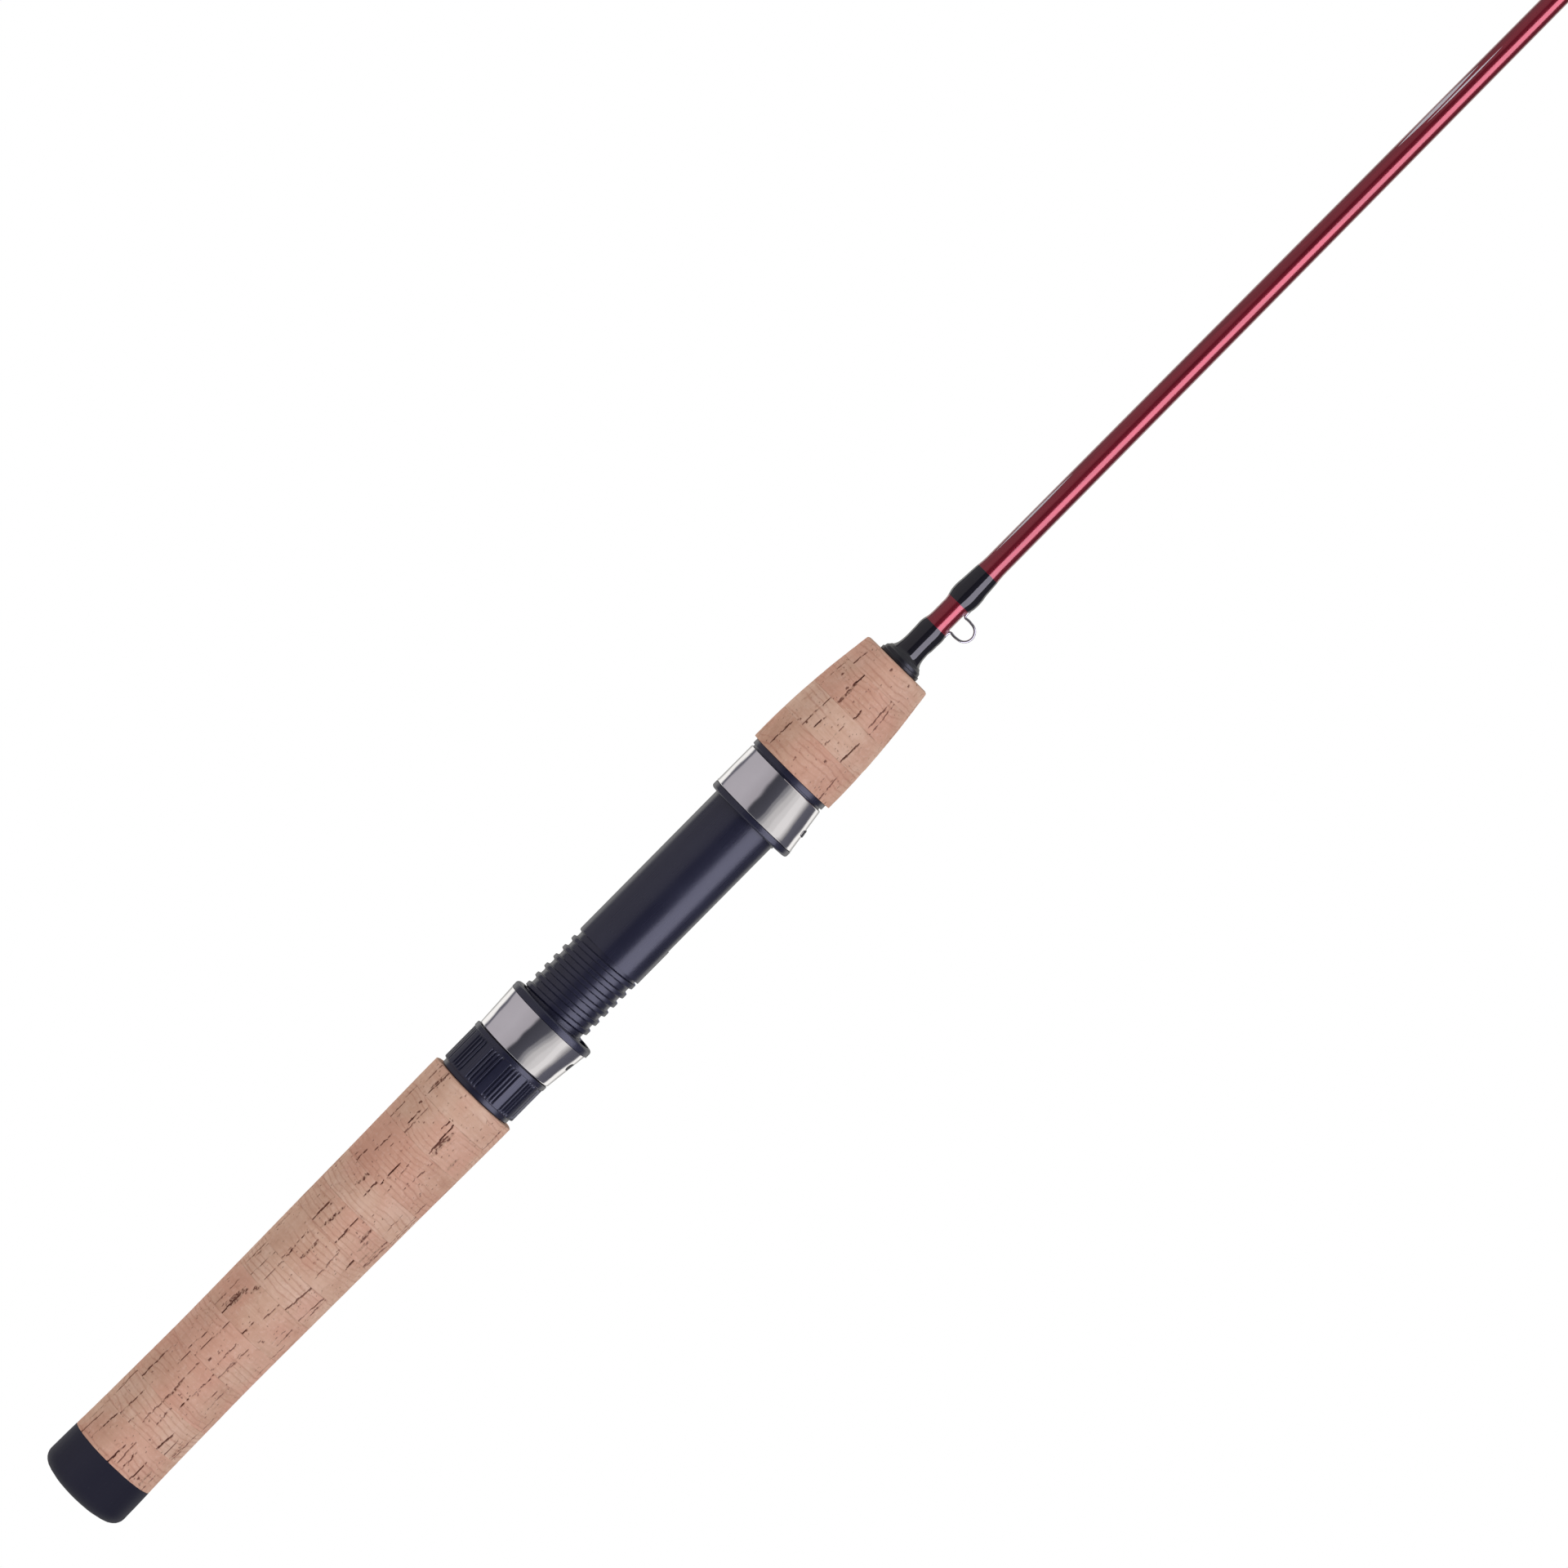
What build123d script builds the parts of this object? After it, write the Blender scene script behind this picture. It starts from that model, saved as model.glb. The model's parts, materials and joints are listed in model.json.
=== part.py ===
from build123d import *
import math
import os

# Ice fishing rod, spinning type, one piece, with a cork handle and a tubular
# screw-locking reel seat.
#
# Millimetres. The origin is the flat centre of the butt end, on the rod axis.
# +X runs along the rod to the tip, +Z is the spine side, -Z is the side that
# carries the reel, the line guides and the hook keeper.
#
# "Rear" is toward the butt and "front" toward the tip. Turned outlines are
# lists of (x, radius). A circle of the hoods is (radius, centre height).

os.makedirs("parts", exist_ok=True)

ROD_LENGTH = 914.0           # 36 inches, butt to the front of the tip-top


# ------------------------------------------------------------------- helpers
def save(part, name):
    """Label a piece and write its STEP file."""
    part.label = name
    export_step(part, f"parts/{name}.step")


def turned(outline, *cutters):
    """Solid of revolution about the rod axis, less each of the cutters in turn."""
    with BuildPart() as body:
        with BuildSketch(Plane.XZ):
            with BuildLine():
                Polyline(outline, close=True)
            make_face()
        revolve(axis=Axis.X)
        for cutter in cutters:
            add(cutter, mode=Mode.SUBTRACT)
    return body.part


def along(table, x):
    """Straight-line interpolation in a table of (x, radius)."""
    for (x_low, r_low), (x_high, r_high) in zip(table, table[1:]):
        if x <= x_high:
            return r_low + (r_high - r_low) * (x - x_low) / (x_high - x_low)
    return table[-1][1]


def smooth(table, x):
    """Smooth interpolation (cubic Hermite) in a table of (x, radius)."""
    last = len(table) - 1

    def slope(first, second):
        return (table[second][1] - table[first][1]) / (table[second][0] - table[first][0])

    # the span that holds x; its end slopes are taken across the neighbouring points
    i = next((k for k in range(last) if x <= table[k + 1][0]), last - 1)
    (x_low, r_low), (x_high, r_high) = table[i], table[i + 1]
    slope_low = slope(max(i - 1, 0), i + 1)
    slope_high = slope(i, min(i + 2, last))
    span = x_high - x_low
    u = (x - x_low) / span
    return ((2 * u**3 - 3 * u**2 + 1) * r_low + (u**3 - 2 * u**2 + u) * span * slope_low
            + (3 * u**2 - 2 * u**3) * r_high + (u**3 - u**2) * span * slope_high)


# --------------------------------------------------------------------- blank
# Solid, straight through the handle, then a slow taper that quickens toward
# the tip.
BLANK_R = 3.15               # radius inside the handle
BLANK_TAPER = [
    (10.0, BLANK_R), (292.0, BLANK_R), (325.0, 3.13), (400.0, 3.00),
    (523.0, 2.745), (629.0, 2.36), (704.0, 2.00), (774.0, 1.63),
    (838.0, 1.28), (905.0, 0.90), (911.5, 0.86),
]
BLANK_CHAMFER = 0.4          # at the butt end

with BuildPart() as blank:
    add(turned([(BLANK_TAPER[0][0], 0)] + BLANK_TAPER + [(BLANK_TAPER[-1][0], 0)]))
    chamfer(edges().filter_by(GeomType.CIRCLE).sort_by(Axis.X)[0], BLANK_CHAMFER)
save(blank.part, "blank")

# ------------------------------------------------------------------ butt cap
# Rubber cup over a turned cork spigot
CAP_LENGTH = 13.3
CAP_WALL_END = 4.0           # inside face of the cup's floor
SPIGOT_R = 10.0
CAP_FACE_R = 5.5             # flat end face
CAP_SHOULDER = (4.2, 12.75)  # where the rounded end meets the side
CAP_MOUTH_R = 12.55

with BuildPart() as butt_cap:
    with BuildSketch(Plane.XZ):
        with BuildLine():
            Line((0, 0), (0, CAP_FACE_R))
            Spline((0, CAP_FACE_R), (0.3, 7.6), (0.85, 9.7), (1.75, 11.5), (2.9, 12.4),
                   CAP_SHOULDER, tangents=[(0.02, 1.0), (1.0, 0.0)])
            Polyline(CAP_SHOULDER, (CAP_LENGTH, CAP_MOUTH_R), (CAP_LENGTH, SPIGOT_R),
                     (CAP_WALL_END, SPIGOT_R), (CAP_WALL_END, 0), (0, 0))
        make_face()
    revolve(axis=Axis.X)
save(butt_cap.part, "butt_cap")

# ---------------------------------------------------------------- cork grips
# The seams are the x positions of the glue joints between the cork rings.
SEAT_X0, SEAT_X1 = 141.5, 254.1      # reel seat tube, between the two grips

REAR_SEAMS = [CAP_LENGTH, 23.8, 33.9, 47.2, 59.3, 71.0, 79.5, 91.7, 100.5, 109.8,
              123.2, 133.3, SEAT_X0]
REAR_PROFILE = [
    (CAP_LENGTH, 12.53), (16.3, 12.45), (24.0, 12.30), (33.0, 12.20),
    (49.0, 12.05), (61.0, 12.10), (77.0, 12.25), (93.5, 12.40),
    (110.0, 12.50), (126.0, 12.70), (138.0, 12.80), (SEAT_X0, 12.80),
]
REAR_GRIP_FILLET = 0.35

FORE_SEAMS = [SEAT_X1, 264.4, 274.3, 284.1, 291.6]
FORE_PROFILE = [
    (SEAT_X1, 12.90), (260.0, 12.90), (264.0, 12.78), (268.3, 12.60),
    (272.4, 12.30), (276.4, 11.97), (280.5, 11.57), (284.6, 11.06),
    (288.6, 10.55), (FORE_SEAMS[-1], 10.15),
]
FORE_GRIP_FILLET = 0.6


def cork_grip(name, seams, profile, front_fillet, spigot=()):
    """A row of cork rings. The first reaches back along the spigot points, if
    given; the last is rounded at its front edge."""
    count = len(seams) - 1
    for i in range(count):
        start, end = seams[i], seams[i + 1]
        middle = 0.5 * (start + end)
        rear_point, mid_point, front_point = [(x, smooth(profile, x))
                                              for x in (start, middle, end)]
        inside = spigot if spigot and i == 0 else [(start, BLANK_R)]
        with BuildPart() as cork:
            with BuildSketch(Plane.XZ):
                with BuildLine():
                    Spline(rear_point, mid_point, front_point)
                    Polyline(front_point, (end, BLANK_R), *inside, rear_point)
                make_face()
            revolve(axis=Axis.X)
            if i == count - 1:
                front_edges = edges().filter_by(GeomType.CIRCLE).group_by(Axis.X)[-1]
                fillet(front_edges.sort_by(SortBy.RADIUS)[-1], front_fillet)
        save(cork.part, f"{name}_{i + 1:02d}")


cork_grip("cork_rear", REAR_SEAMS, REAR_PROFILE, REAR_GRIP_FILLET,
          spigot=[(CAP_WALL_END, BLANK_R), (CAP_WALL_END, SPIGOT_R), (CAP_LENGTH, SPIGOT_R)])
cork_grip("cork_fore", FORE_SEAMS, FORE_PROFILE, FORE_GRIP_FILLET)

# ----------------------------------------------------- reel seat, dimensions
# Size 16 tube, 16 mm bore, 20 mm outside
SEAT_BORE_R = 8.0
BARREL_R = 10.0
THREAD_END = 189.6           # shoulder where the plain barrel begins
THREAD_ROOT = 9.20
THREAD_CREST = 9.95
THREAD_PITCH = 3.2           # right-handed, single start: 3.2 mm of travel per turn
THREAD_START = 143.0         # middle of the first crest
THREAD_RIDGES = 15
CREST_HALF = 0.60            # half width of the crest
FLANK = math.tan(math.radians(15.0))
KEYWAY_W = 3.0               # lengthwise slot on the reel side
KEYWAY_Z = 8.78              # depth of its floor below the rod axis
KEYWAY_END = 200.6
BED_X0, BED_X1 = 200.5, 237.0        # shallow flat the reel foot rests on
BED_W = 8.0
BED_DEPTH = 0.3
CUTTER_H = 2.0               # height of the keyway and bed cutters

# Pockets in the hoods for the reel foot: limits of their width and height
POCKET_W, POCKET_H, POCKET_CORNER_R = 12.4, 9.0, 1.2
POCKET_Z = -10.0
POCKET_REACH = 12.0          # length of the limiting block
POCKET_PROUD = 0.2           # how far a pocket runs out past its hood's lip

# Front hood, fixed: moulded core with a chromed shell over it
SHELL_T = 0.5
FRONT_LIP_X0, FRONT_LIP_X1 = 237.7, 239.5
FRONT_SHELL_X1 = 252.0
FRONT_LIP = (12.85, -1.05)
FRONT_SHELL_REAR = (12.78, -1.02)
FRONT_SHELL_FRONT = (11.85, -0.15)
FRONT_LIP_FILLET = 0.75
FRONT_SHELL_FILLET = 0.3
FRONT_BEAD_PROUD, FRONT_BEAD_W = 0.1, 0.6
FRONT_CORE_BORE_R = BARREL_R - 0.5   # overlaps the tube it is made in one with

# Staking slots in the shells, set across the rod: middle, length, width
FRONT_SLOT = (245.2, 6.4, 2.2)
HOOD_SLOT = (163.0, 7.0, 2.5)
SLOT_CUT_Z, SLOT_CUT_H = -16.0, 6.0


def inset(circle):
    """The circle inside a hood's shell, from the circle outside it."""
    radius, z = circle
    return radius - SHELL_T, z


FRONT_OUTSIDE = [(FRONT_LIP_X1, FRONT_SHELL_REAR), (FRONT_SHELL_X1, FRONT_SHELL_FRONT)]
FRONT_INSIDE = [(x, inset(circle)) for x, circle in FRONT_OUTSIDE]


def foot_pocket(sections, block_x):
    """Pocket for the reel foot: an eccentric cone limited in width and height."""
    with BuildPart() as pocket:
        for x, (radius, z) in sections:
            with BuildSketch(Plane.YZ.offset(x)):
                with Locations((0, z)):
                    Circle(radius)
        loft()
        with BuildSketch(Plane.YZ.offset(block_x)):
            with Locations((0, POCKET_Z)):
                RectangleRounded(POCKET_W, POCKET_H, POCKET_CORNER_R)
        extrude(amount=POCKET_REACH, mode=Mode.INTERSECT)
    return pocket.part


# --------------------------------------------------------------- seat barrel
# The front pocket stays outside the barrel.
FRONT_POCKET = [(FRONT_LIP_X0 - POCKET_PROUD, (12.05, -1.05)), (247.5, (11.0, -0.60))]
with BuildPart() as front_pocket:
    add(foot_pocket(FRONT_POCKET, FRONT_LIP_X0 - 1))
    with BuildSketch(Plane.YZ.offset(FRONT_LIP_X0 - 1)):
        Circle(BARREL_R)
    extrude(amount=POCKET_REACH, mode=Mode.SUBTRACT)

# Moulded lip and core of the fixed hood, made in one with the seat tube
with BuildPart() as front_core:
    with BuildSketch(Plane.YZ.offset(FRONT_LIP_X0)):
        with Locations((0, FRONT_LIP[1])):
            Circle(FRONT_LIP[0])
    extrude(amount=FRONT_LIP_X1 - FRONT_LIP_X0)
    fillet(edges().filter_by(GeomType.CIRCLE).sort_by(Axis.X)[0], FRONT_LIP_FILLET)
    for x, (radius, z) in FRONT_INSIDE:
        with BuildSketch(Plane.YZ.offset(x)):
            with Locations((0, z)):
                Circle(radius)
    loft()
    with BuildSketch(Plane.YZ.offset(FRONT_LIP_X0 - 1)):
        Circle(FRONT_CORE_BORE_R)
    extrude(amount=20, mode=Mode.SUBTRACT)
    add(front_pocket.part, mode=Mode.SUBTRACT)

# The threaded length is drawn as a row of equal ridges at the thread's pitch
ridge_base_half = CREST_HALF + (THREAD_CREST - THREAD_ROOT) * FLANK
thread_outline = []
for k in range(THREAD_RIDGES):
    crest = THREAD_START + k * THREAD_PITCH
    thread_outline += [
        (crest - ridge_base_half, THREAD_ROOT), (crest - CREST_HALF, THREAD_CREST),
        (crest + CREST_HALF, THREAD_CREST), (crest + ridge_base_half, THREAD_ROOT)]

with BuildPart() as seat_barrel:
    # tube: threaded length, plain barrel, front end
    add(turned([(SEAT_X0, SEAT_BORE_R), (SEAT_X0, THREAD_ROOT)] + thread_outline
               + [(THREAD_END, THREAD_ROOT), (THREAD_END, BARREL_R), (SEAT_X1, BARREL_R),
                  (SEAT_X1, SEAT_BORE_R)]))
    # keyway along the threads, on the reel side
    with BuildSketch(Plane.YZ.offset(SEAT_X0 - 1)):
        with Locations((0, -KEYWAY_Z - CUTTER_H / 2)):
            Rectangle(KEYWAY_W, CUTTER_H)
    extrude(amount=KEYWAY_END - SEAT_X0 + 1, mode=Mode.SUBTRACT)
    # flat bed under the reel foot
    with BuildSketch(Plane.YZ.offset(BED_X0)):
        with Locations((0, -BARREL_R + BED_DEPTH - CUTTER_H / 2)):
            Rectangle(BED_W, CUTTER_H)
    extrude(amount=BED_X1 - BED_X0, mode=Mode.SUBTRACT)
    add(front_core.part)
save(seat_barrel.part, "seat_barrel")

# -------------------------------------------------------------- seat arbors
# Bushings that centre the blank in the seat tube: (rear, front) of each
ARBORS = [(144.0, 158.0), (190.0, 206.0), (238.0, 252.5)]
with BuildPart() as seat_arbors:
    for start, end in ARBORS:
        with BuildSketch(Plane.YZ.offset(start)):
            Circle(SEAT_BORE_R)
            Circle(BLANK_R, mode=Mode.SUBTRACT)
        extrude(amount=end - start)
save(seat_arbors.part, "seat_arbors")

# --------------------------------------------------------- front hood shell
# Chromed shell pressed over the fixed hood's core
with BuildPart() as front_hood_shell:
    for x, (radius, z) in FRONT_OUTSIDE:
        with BuildSketch(Plane.YZ.offset(x)):
            with Locations((0, z)):
                Circle(radius)
    loft()
    fillet(edges().filter_by(GeomType.CIRCLE).sort_by(Axis.X)[-1], FRONT_SHELL_FILLET)
    # rolled bead at its rear edge
    with BuildSketch(Plane.YZ.offset(FRONT_LIP_X1)):
        with Locations((0, FRONT_SHELL_REAR[1])):
            Circle(FRONT_SHELL_REAR[0] + FRONT_BEAD_PROUD)
    extrude(amount=FRONT_BEAD_W)
    for x, (radius, z) in FRONT_INSIDE:
        with BuildSketch(Plane.YZ.offset(x)):
            with Locations((0, z)):
                Circle(radius)
    loft(mode=Mode.SUBTRACT)
    # staking slot on the reel side
    slot_x, slot_length, slot_width = FRONT_SLOT
    with BuildSketch(Plane.XY.offset(SLOT_CUT_Z)):
        with Locations((slot_x, 0)):
            SlotOverall(slot_length, slot_width, rotation=90)
    extrude(amount=SLOT_CUT_H, mode=Mode.SUBTRACT)
save(front_hood_shell.part, "front_hood_shell")

# Black trim ring between the seat and the fore grip
TRIM_RING = [
    (FRONT_SHELL_X1, BARREL_R), (FRONT_SHELL_X1, 11.3), (252.5, 11.3), (252.5, 11.7),
    (252.7, 11.9), (253.9, 11.9), (SEAT_X1, 11.7), (SEAT_X1, BARREL_R),
]
save(turned(TRIM_RING), "seat_trim_ring")

# ------------------------------------------------------------------ lock nut
NUT_X0 = 141.6
NUT_FLANGE_X1 = 143.1
NUT_KNURL_X1 = 153.9
NUT_RING_X1 = 155.2
NUT_NECK_X1 = 158.4
NUT_FLANGE_R, NUT_KNURL_R, NUT_RING_R = 11.0, 11.68, 11.88
NUT_NECK_R, NUT_BEAD_R = 10.50, 10.80
NUT_BODY_R = 10.9                    # turned body under the grip band
NUT_BAND_BORE_R = 10.8               # the band overlaps the body by 0.1 mm
NUT_BORE_R = THREAD_CREST + 0.10     # clears the thread's crest
NUT_CHAMFER = 0.25

# Grip band: groups of four fine grooves with plain panels between
GROOVE_GROUPS = 12
GROOVE_R = 0.42                      # half diagonal of the square that cuts a groove
GROOVE_ANGLE = 17.2                  # middle of the first group, degrees
GROOVE_STEP = 5.4                    # degrees between the grooves of a group

# rear flange, grip band, front ring, captured neck with bead
NUT_OUTLINE = [
    (NUT_X0, NUT_BORE_R), (NUT_X0, NUT_FLANGE_R - NUT_CHAMFER),
    (NUT_X0 + NUT_CHAMFER, NUT_FLANGE_R), (NUT_FLANGE_X1, NUT_FLANGE_R),
    (NUT_FLANGE_X1, NUT_BODY_R), (NUT_KNURL_X1, NUT_BODY_R),
    (NUT_KNURL_X1, NUT_RING_R - NUT_CHAMFER), (NUT_KNURL_X1 + NUT_CHAMFER, NUT_RING_R),
    (NUT_RING_X1 - NUT_CHAMFER, NUT_RING_R), (NUT_RING_X1, NUT_RING_R - NUT_CHAMFER),
    (NUT_RING_X1, NUT_NECK_R), (156.25, NUT_NECK_R), (156.35, NUT_BEAD_R),
    (157.6, NUT_BEAD_R), (158.2, NUT_NECK_R), (NUT_NECK_X1, NUT_NECK_R),
    (NUT_NECK_X1, NUT_BORE_R),
]

with BuildPart() as lock_nut:
    add(turned(NUT_OUTLINE))
    with BuildSketch(Plane.YZ.offset(NUT_FLANGE_X1)):
        Circle(NUT_KNURL_R)
        for steps in (-1.5, -0.5, 0.5, 1.5):
            with PolarLocations(NUT_KNURL_R, GROOVE_GROUPS,
                                start_angle=GROOVE_ANGLE + steps * GROOVE_STEP):
                RegularPolygon(GROOVE_R, 4, mode=Mode.SUBTRACT)
        Circle(NUT_BAND_BORE_R, mode=Mode.SUBTRACT)
    extrude(amount=NUT_KNURL_X1 - NUT_FLANGE_X1)
save(lock_nut.part, "lock_nut")

# --------------------------------------------------------------- moving hood
# Core and shell; the lock nut is captured in the shell's rear rim.
HOOD_X0 = NUT_RING_X1 + 0.2
HOOD_CORE_X0 = NUT_NECK_X1 + 0.2
HOOD_SHELL_X1, HOOD_X1 = 167.4, 169.4
HOOD_REAR = (11.60, -0.27)
HOOD_FRONT = (12.62, -0.68)
HOOD_LIP = (12.85, -0.85)
HOOD_BORE_R = BARREL_R + 0.04        # clear of the plain barrel
RIM_BORE_R = NUT_NECK_R + 0.10       # clear of the nut's neck
RIM_POCKET_R = NUT_BEAD_R + 0.08     # clear of the nut's bead
RIM_POCKET_X0 = 156.1
HOOD_LIP_FILLET = 0.8
HOOD_REAR_FILLET = 0.25
KEY_W = KEYWAY_W - 0.16              # slides in the seat's keyway
KEY_H, KEY_LENGTH, KEY_Z = 1.4, 2.2, -9.6


def hood_outside(x):
    """Circle of the moving hood's outside at x."""
    u = (x - HOOD_X0) / (HOOD_SHELL_X1 - HOOD_X0)
    return tuple(rear + u * (front - rear) for rear, front in zip(HOOD_REAR, HOOD_FRONT))


HOOD_OUTSIDE = [(HOOD_X0, HOOD_REAR), (HOOD_SHELL_X1, HOOD_FRONT)]
HOOD_INSIDE = [(HOOD_CORE_X0, inset(hood_outside(HOOD_CORE_X0))),
               (HOOD_SHELL_X1, inset(HOOD_FRONT))]
HOOD_POCKET = [(161.0, (10.85, -0.45)), (HOOD_X1 + POCKET_PROUD, (11.65, -0.70))]
HOOD_POCKET_BLOCK_X = 160.0

with BuildPart() as hood_core:
    with BuildSketch(Plane.YZ.offset(HOOD_SHELL_X1)):
        with Locations((0, HOOD_LIP[1])):
            Circle(HOOD_LIP[0])
    extrude(amount=HOOD_X1 - HOOD_SHELL_X1)
    fillet(edges().filter_by(GeomType.CIRCLE).sort_by(Axis.X)[-1], HOOD_LIP_FILLET)
    for x, (radius, z) in HOOD_INSIDE:
        with BuildSketch(Plane.YZ.offset(x)):
            with Locations((0, z)):
                Circle(radius)
    loft()
    with BuildSketch(Plane.YZ.offset(HOOD_CORE_X0 - 1)):
        Circle(HOOD_BORE_R)
    extrude(amount=14, mode=Mode.SUBTRACT)
    add(foot_pocket(HOOD_POCKET, HOOD_POCKET_BLOCK_X), mode=Mode.SUBTRACT)
    # key that runs in the seat's lengthwise slot
    with BuildSketch(Plane.YZ.offset(HOOD_CORE_X0 + 0.1)):
        with Locations((0, KEY_Z)):
            Rectangle(KEY_W, KEY_H)
    extrude(amount=KEY_LENGTH)
save(hood_core.part, "hood_core")

with BuildPart() as hood_shell:
    for x, (radius, z) in HOOD_OUTSIDE:
        with BuildSketch(Plane.YZ.offset(x)):
            with Locations((0, z)):
                Circle(radius)
    loft()
    fillet(edges().filter_by(GeomType.CIRCLE).sort_by(Axis.X)[0], HOOD_REAR_FILLET)
    # turned-in rear rim that holds the nut, and the room for the nut's bead
    with BuildSketch(Plane.YZ.offset(HOOD_X0 - 1)):
        Circle(RIM_BORE_R)
    extrude(amount=2.0, mode=Mode.SUBTRACT)
    with BuildSketch(Plane.YZ.offset(RIM_POCKET_X0)):
        Circle(RIM_POCKET_R)
    extrude(amount=HOOD_CORE_X0 - RIM_POCKET_X0, mode=Mode.SUBTRACT)
    for x, (radius, z) in HOOD_INSIDE:
        with BuildSketch(Plane.YZ.offset(x)):
            with Locations((0, z)):
                Circle(radius)
    loft(mode=Mode.SUBTRACT)
    # staking slot on the reel side
    slot_x, slot_length, slot_width = HOOD_SLOT
    with BuildSketch(Plane.XY.offset(SLOT_CUT_Z)):
        with Locations((slot_x, 0)):
            SlotOverall(slot_length, slot_width, rotation=90)
    extrude(amount=SLOT_CUT_H, mode=Mode.SUBTRACT)
save(hood_shell.part, "hood_shell")

# ------------------------------------------------------------- winding check
CHECK_X0, CHECK_X1 = FORE_SEAMS[-1], 294.5
WINDING_CHECK = [
    (CHECK_X0, BLANK_R), (CHECK_X0, 5.9), (291.75, 6.05), (292.75, 6.05),
    (292.9, 5.9), (294.35, 4.75), (CHECK_X1, 4.6), (CHECK_X1, BLANK_R),
]
save(turned(WINDING_CHECK, blank.part), "winding_check")

# --------------------------------------------------------------- hook keeper
# One bent wire: a foot along the blank, a hanging loop, a second foot. The
# feet are ground flat where the thread binds them down.
KEEPER_WIRE_R = 0.33
KEEPER_START, KEEPER_END = 299.6, 318.0      # ends of the two feet
KEEPER_X0, KEEPER_X1 = 306.5, 311.6          # sides of the loop, at the blank
KEEPER_SPLAY = 0.1                           # each side leans out this much
KEEPER_BOTTOM = -8.9
KEEPER_FOOT_BEND, KEEPER_LOOP_BEND = 0.6, 2.45
KEEPER_FOOT_Z = -3.42
GRIND_Z = -3.46
GRIND_LENGTH, GRIND_H = 6.0, 1.0
GRIND_CENTRES = (302.3, 315.5)

loop_z = KEEPER_BOTTOM + KEEPER_WIRE_R
with BuildLine(Plane.XZ) as keeper_path:
    FilletPolyline(
        (KEEPER_START, KEEPER_FOOT_Z), (KEEPER_X0, KEEPER_FOOT_Z),
        (KEEPER_X0 - KEEPER_SPLAY, loop_z), (KEEPER_X1 + KEEPER_SPLAY, loop_z),
        (KEEPER_X1, KEEPER_FOOT_Z), (KEEPER_END, KEEPER_FOOT_Z),
        radius=[KEEPER_FOOT_BEND, KEEPER_LOOP_BEND, KEEPER_LOOP_BEND, KEEPER_FOOT_BEND])
with BuildPart() as hook_keeper:
    with BuildSketch(Plane(origin=(KEEPER_START, 0, KEEPER_FOOT_Z), z_dir=(1, 0, 0))):
        Circle(KEEPER_WIRE_R)
    sweep(path=keeper_path.line)
    # grind the feet flat, and seat them on the blank
    with BuildSketch(Plane.XZ):
        with Locations(*[(x, GRIND_Z - GRIND_H / 2) for x in GRIND_CENTRES]):
            Rectangle(GRIND_LENGTH, GRIND_H)
    extrude(amount=2, both=True, mode=Mode.SUBTRACT)
    add(blank.part, mode=Mode.SUBTRACT)
save(hook_keeper.part, "hook_keeper")

# Thread wraps over the keeper's feet, and the clear finish over each wrap.
# The outlines run inside the blank, which is cut out of them.
REAR_WRAP = [
    (CHECK_X1, 2.5), (CHECK_X1, 3.36), (298.9, 3.36), (299.3, 3.52), (304.6, 3.52),
    (304.9, 3.34), (305.0, 2.5),
]
REAR_FINISH = [
    (CHECK_X1, 2.5), (CHECK_X1, 4.5), (294.9, 4.28), (295.4, 4.05), (296.0, 3.85),
    (297.0, 3.68), (298.4, 3.60), (301.5, 3.63), (303.4, 3.70), (304.2, 3.66),
    (304.8, 3.48), (305.3, 3.30), (306.1, 3.18), (306.1, 2.5),
]
FRONT_WRAP = [
    (313.1, 2.5), (313.2, 3.34), (313.5, 3.52), (318.2, 3.52), (318.7, 3.36),
    (323.3, 3.34), (323.4, 2.5),
]
FRONT_FINISH = [
    (312.4, 2.5), (312.4, 3.18), (313.1, 3.42), (314.2, 3.70), (315.5, 3.84),
    (316.3, 3.85), (318.5, 3.68), (321.5, 3.50), (323.4, 3.36), (324.7, 3.17),
    (324.7, 2.5),
]
for place, wrap, finish in (("rear", REAR_WRAP, REAR_FINISH),
                            ("front", FRONT_WRAP, FRONT_FINISH)):
    save(turned(wrap, blank.part, hook_keeper.part), f"keeper_wrap_{place}")
    save(turned(finish, turned(wrap), blank.part, hook_keeper.part),
         f"keeper_finish_{place}")

# --------------------------------------------------------------- line guides
# Each guide: a bent frame with a hoop, a ring held in the hoop, the thread
# that binds its feet to the blank, and the clear finish over the thread.

# hoop position, ring outside and inside diameter, ring centre below the rod
# axis, foot length, run of the leg along the rod
GUIDES = [
    (566.0, 16.0, 11.6, 20.0, 15.0, 11.0),
    (642.0, 10.0, 7.2, 12.0, 13.0, 5.0),
    (713.0, 8.0, 5.6, 8.8, 12.0, 3.6),
    (780.0, 6.0, 4.0, 6.6, 11.0, 2.8),
    (842.0, 6.0, 4.0, 6.2, 10.5, 2.6),
]
# foot width, foot thickness, leg thickness
FIRST_GUIDE_STRIP = (2.6, 0.55, 0.75)
OTHER_GUIDE_STRIP = (1.9, 0.45, 0.55)

HOOP_T = 0.6                 # radial thickness of a guide's hoop
HOOP_CORNER_R = 0.18
RING_LAND = 0.2              # half width of the flat in the ring's bore
RING_CHAMFER = 0.12          # drop of the ring's outside at its edges
LEG_OVERLAP = 0.25           # leg's reach past the top of the ring's seat
LEG_OFFSET = 0.45            # leg's face from the middle of the hoop
TOE_T, TOE_TAPER = 0.18, 3.0         # the foot thins to TOE_T over TOE_TAPER

WRAP_HEEL_GAP = 0.9          # thread starts this far past the heel
WRAP_TOE_OVERRUN = 2.2       # and ends this far past the toe
THREAD_ON_BLANK = 0.17
THREAD_UNDER_FOOT = 0.16
THREAD_BESIDE_FOOT = 0.14

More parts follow.
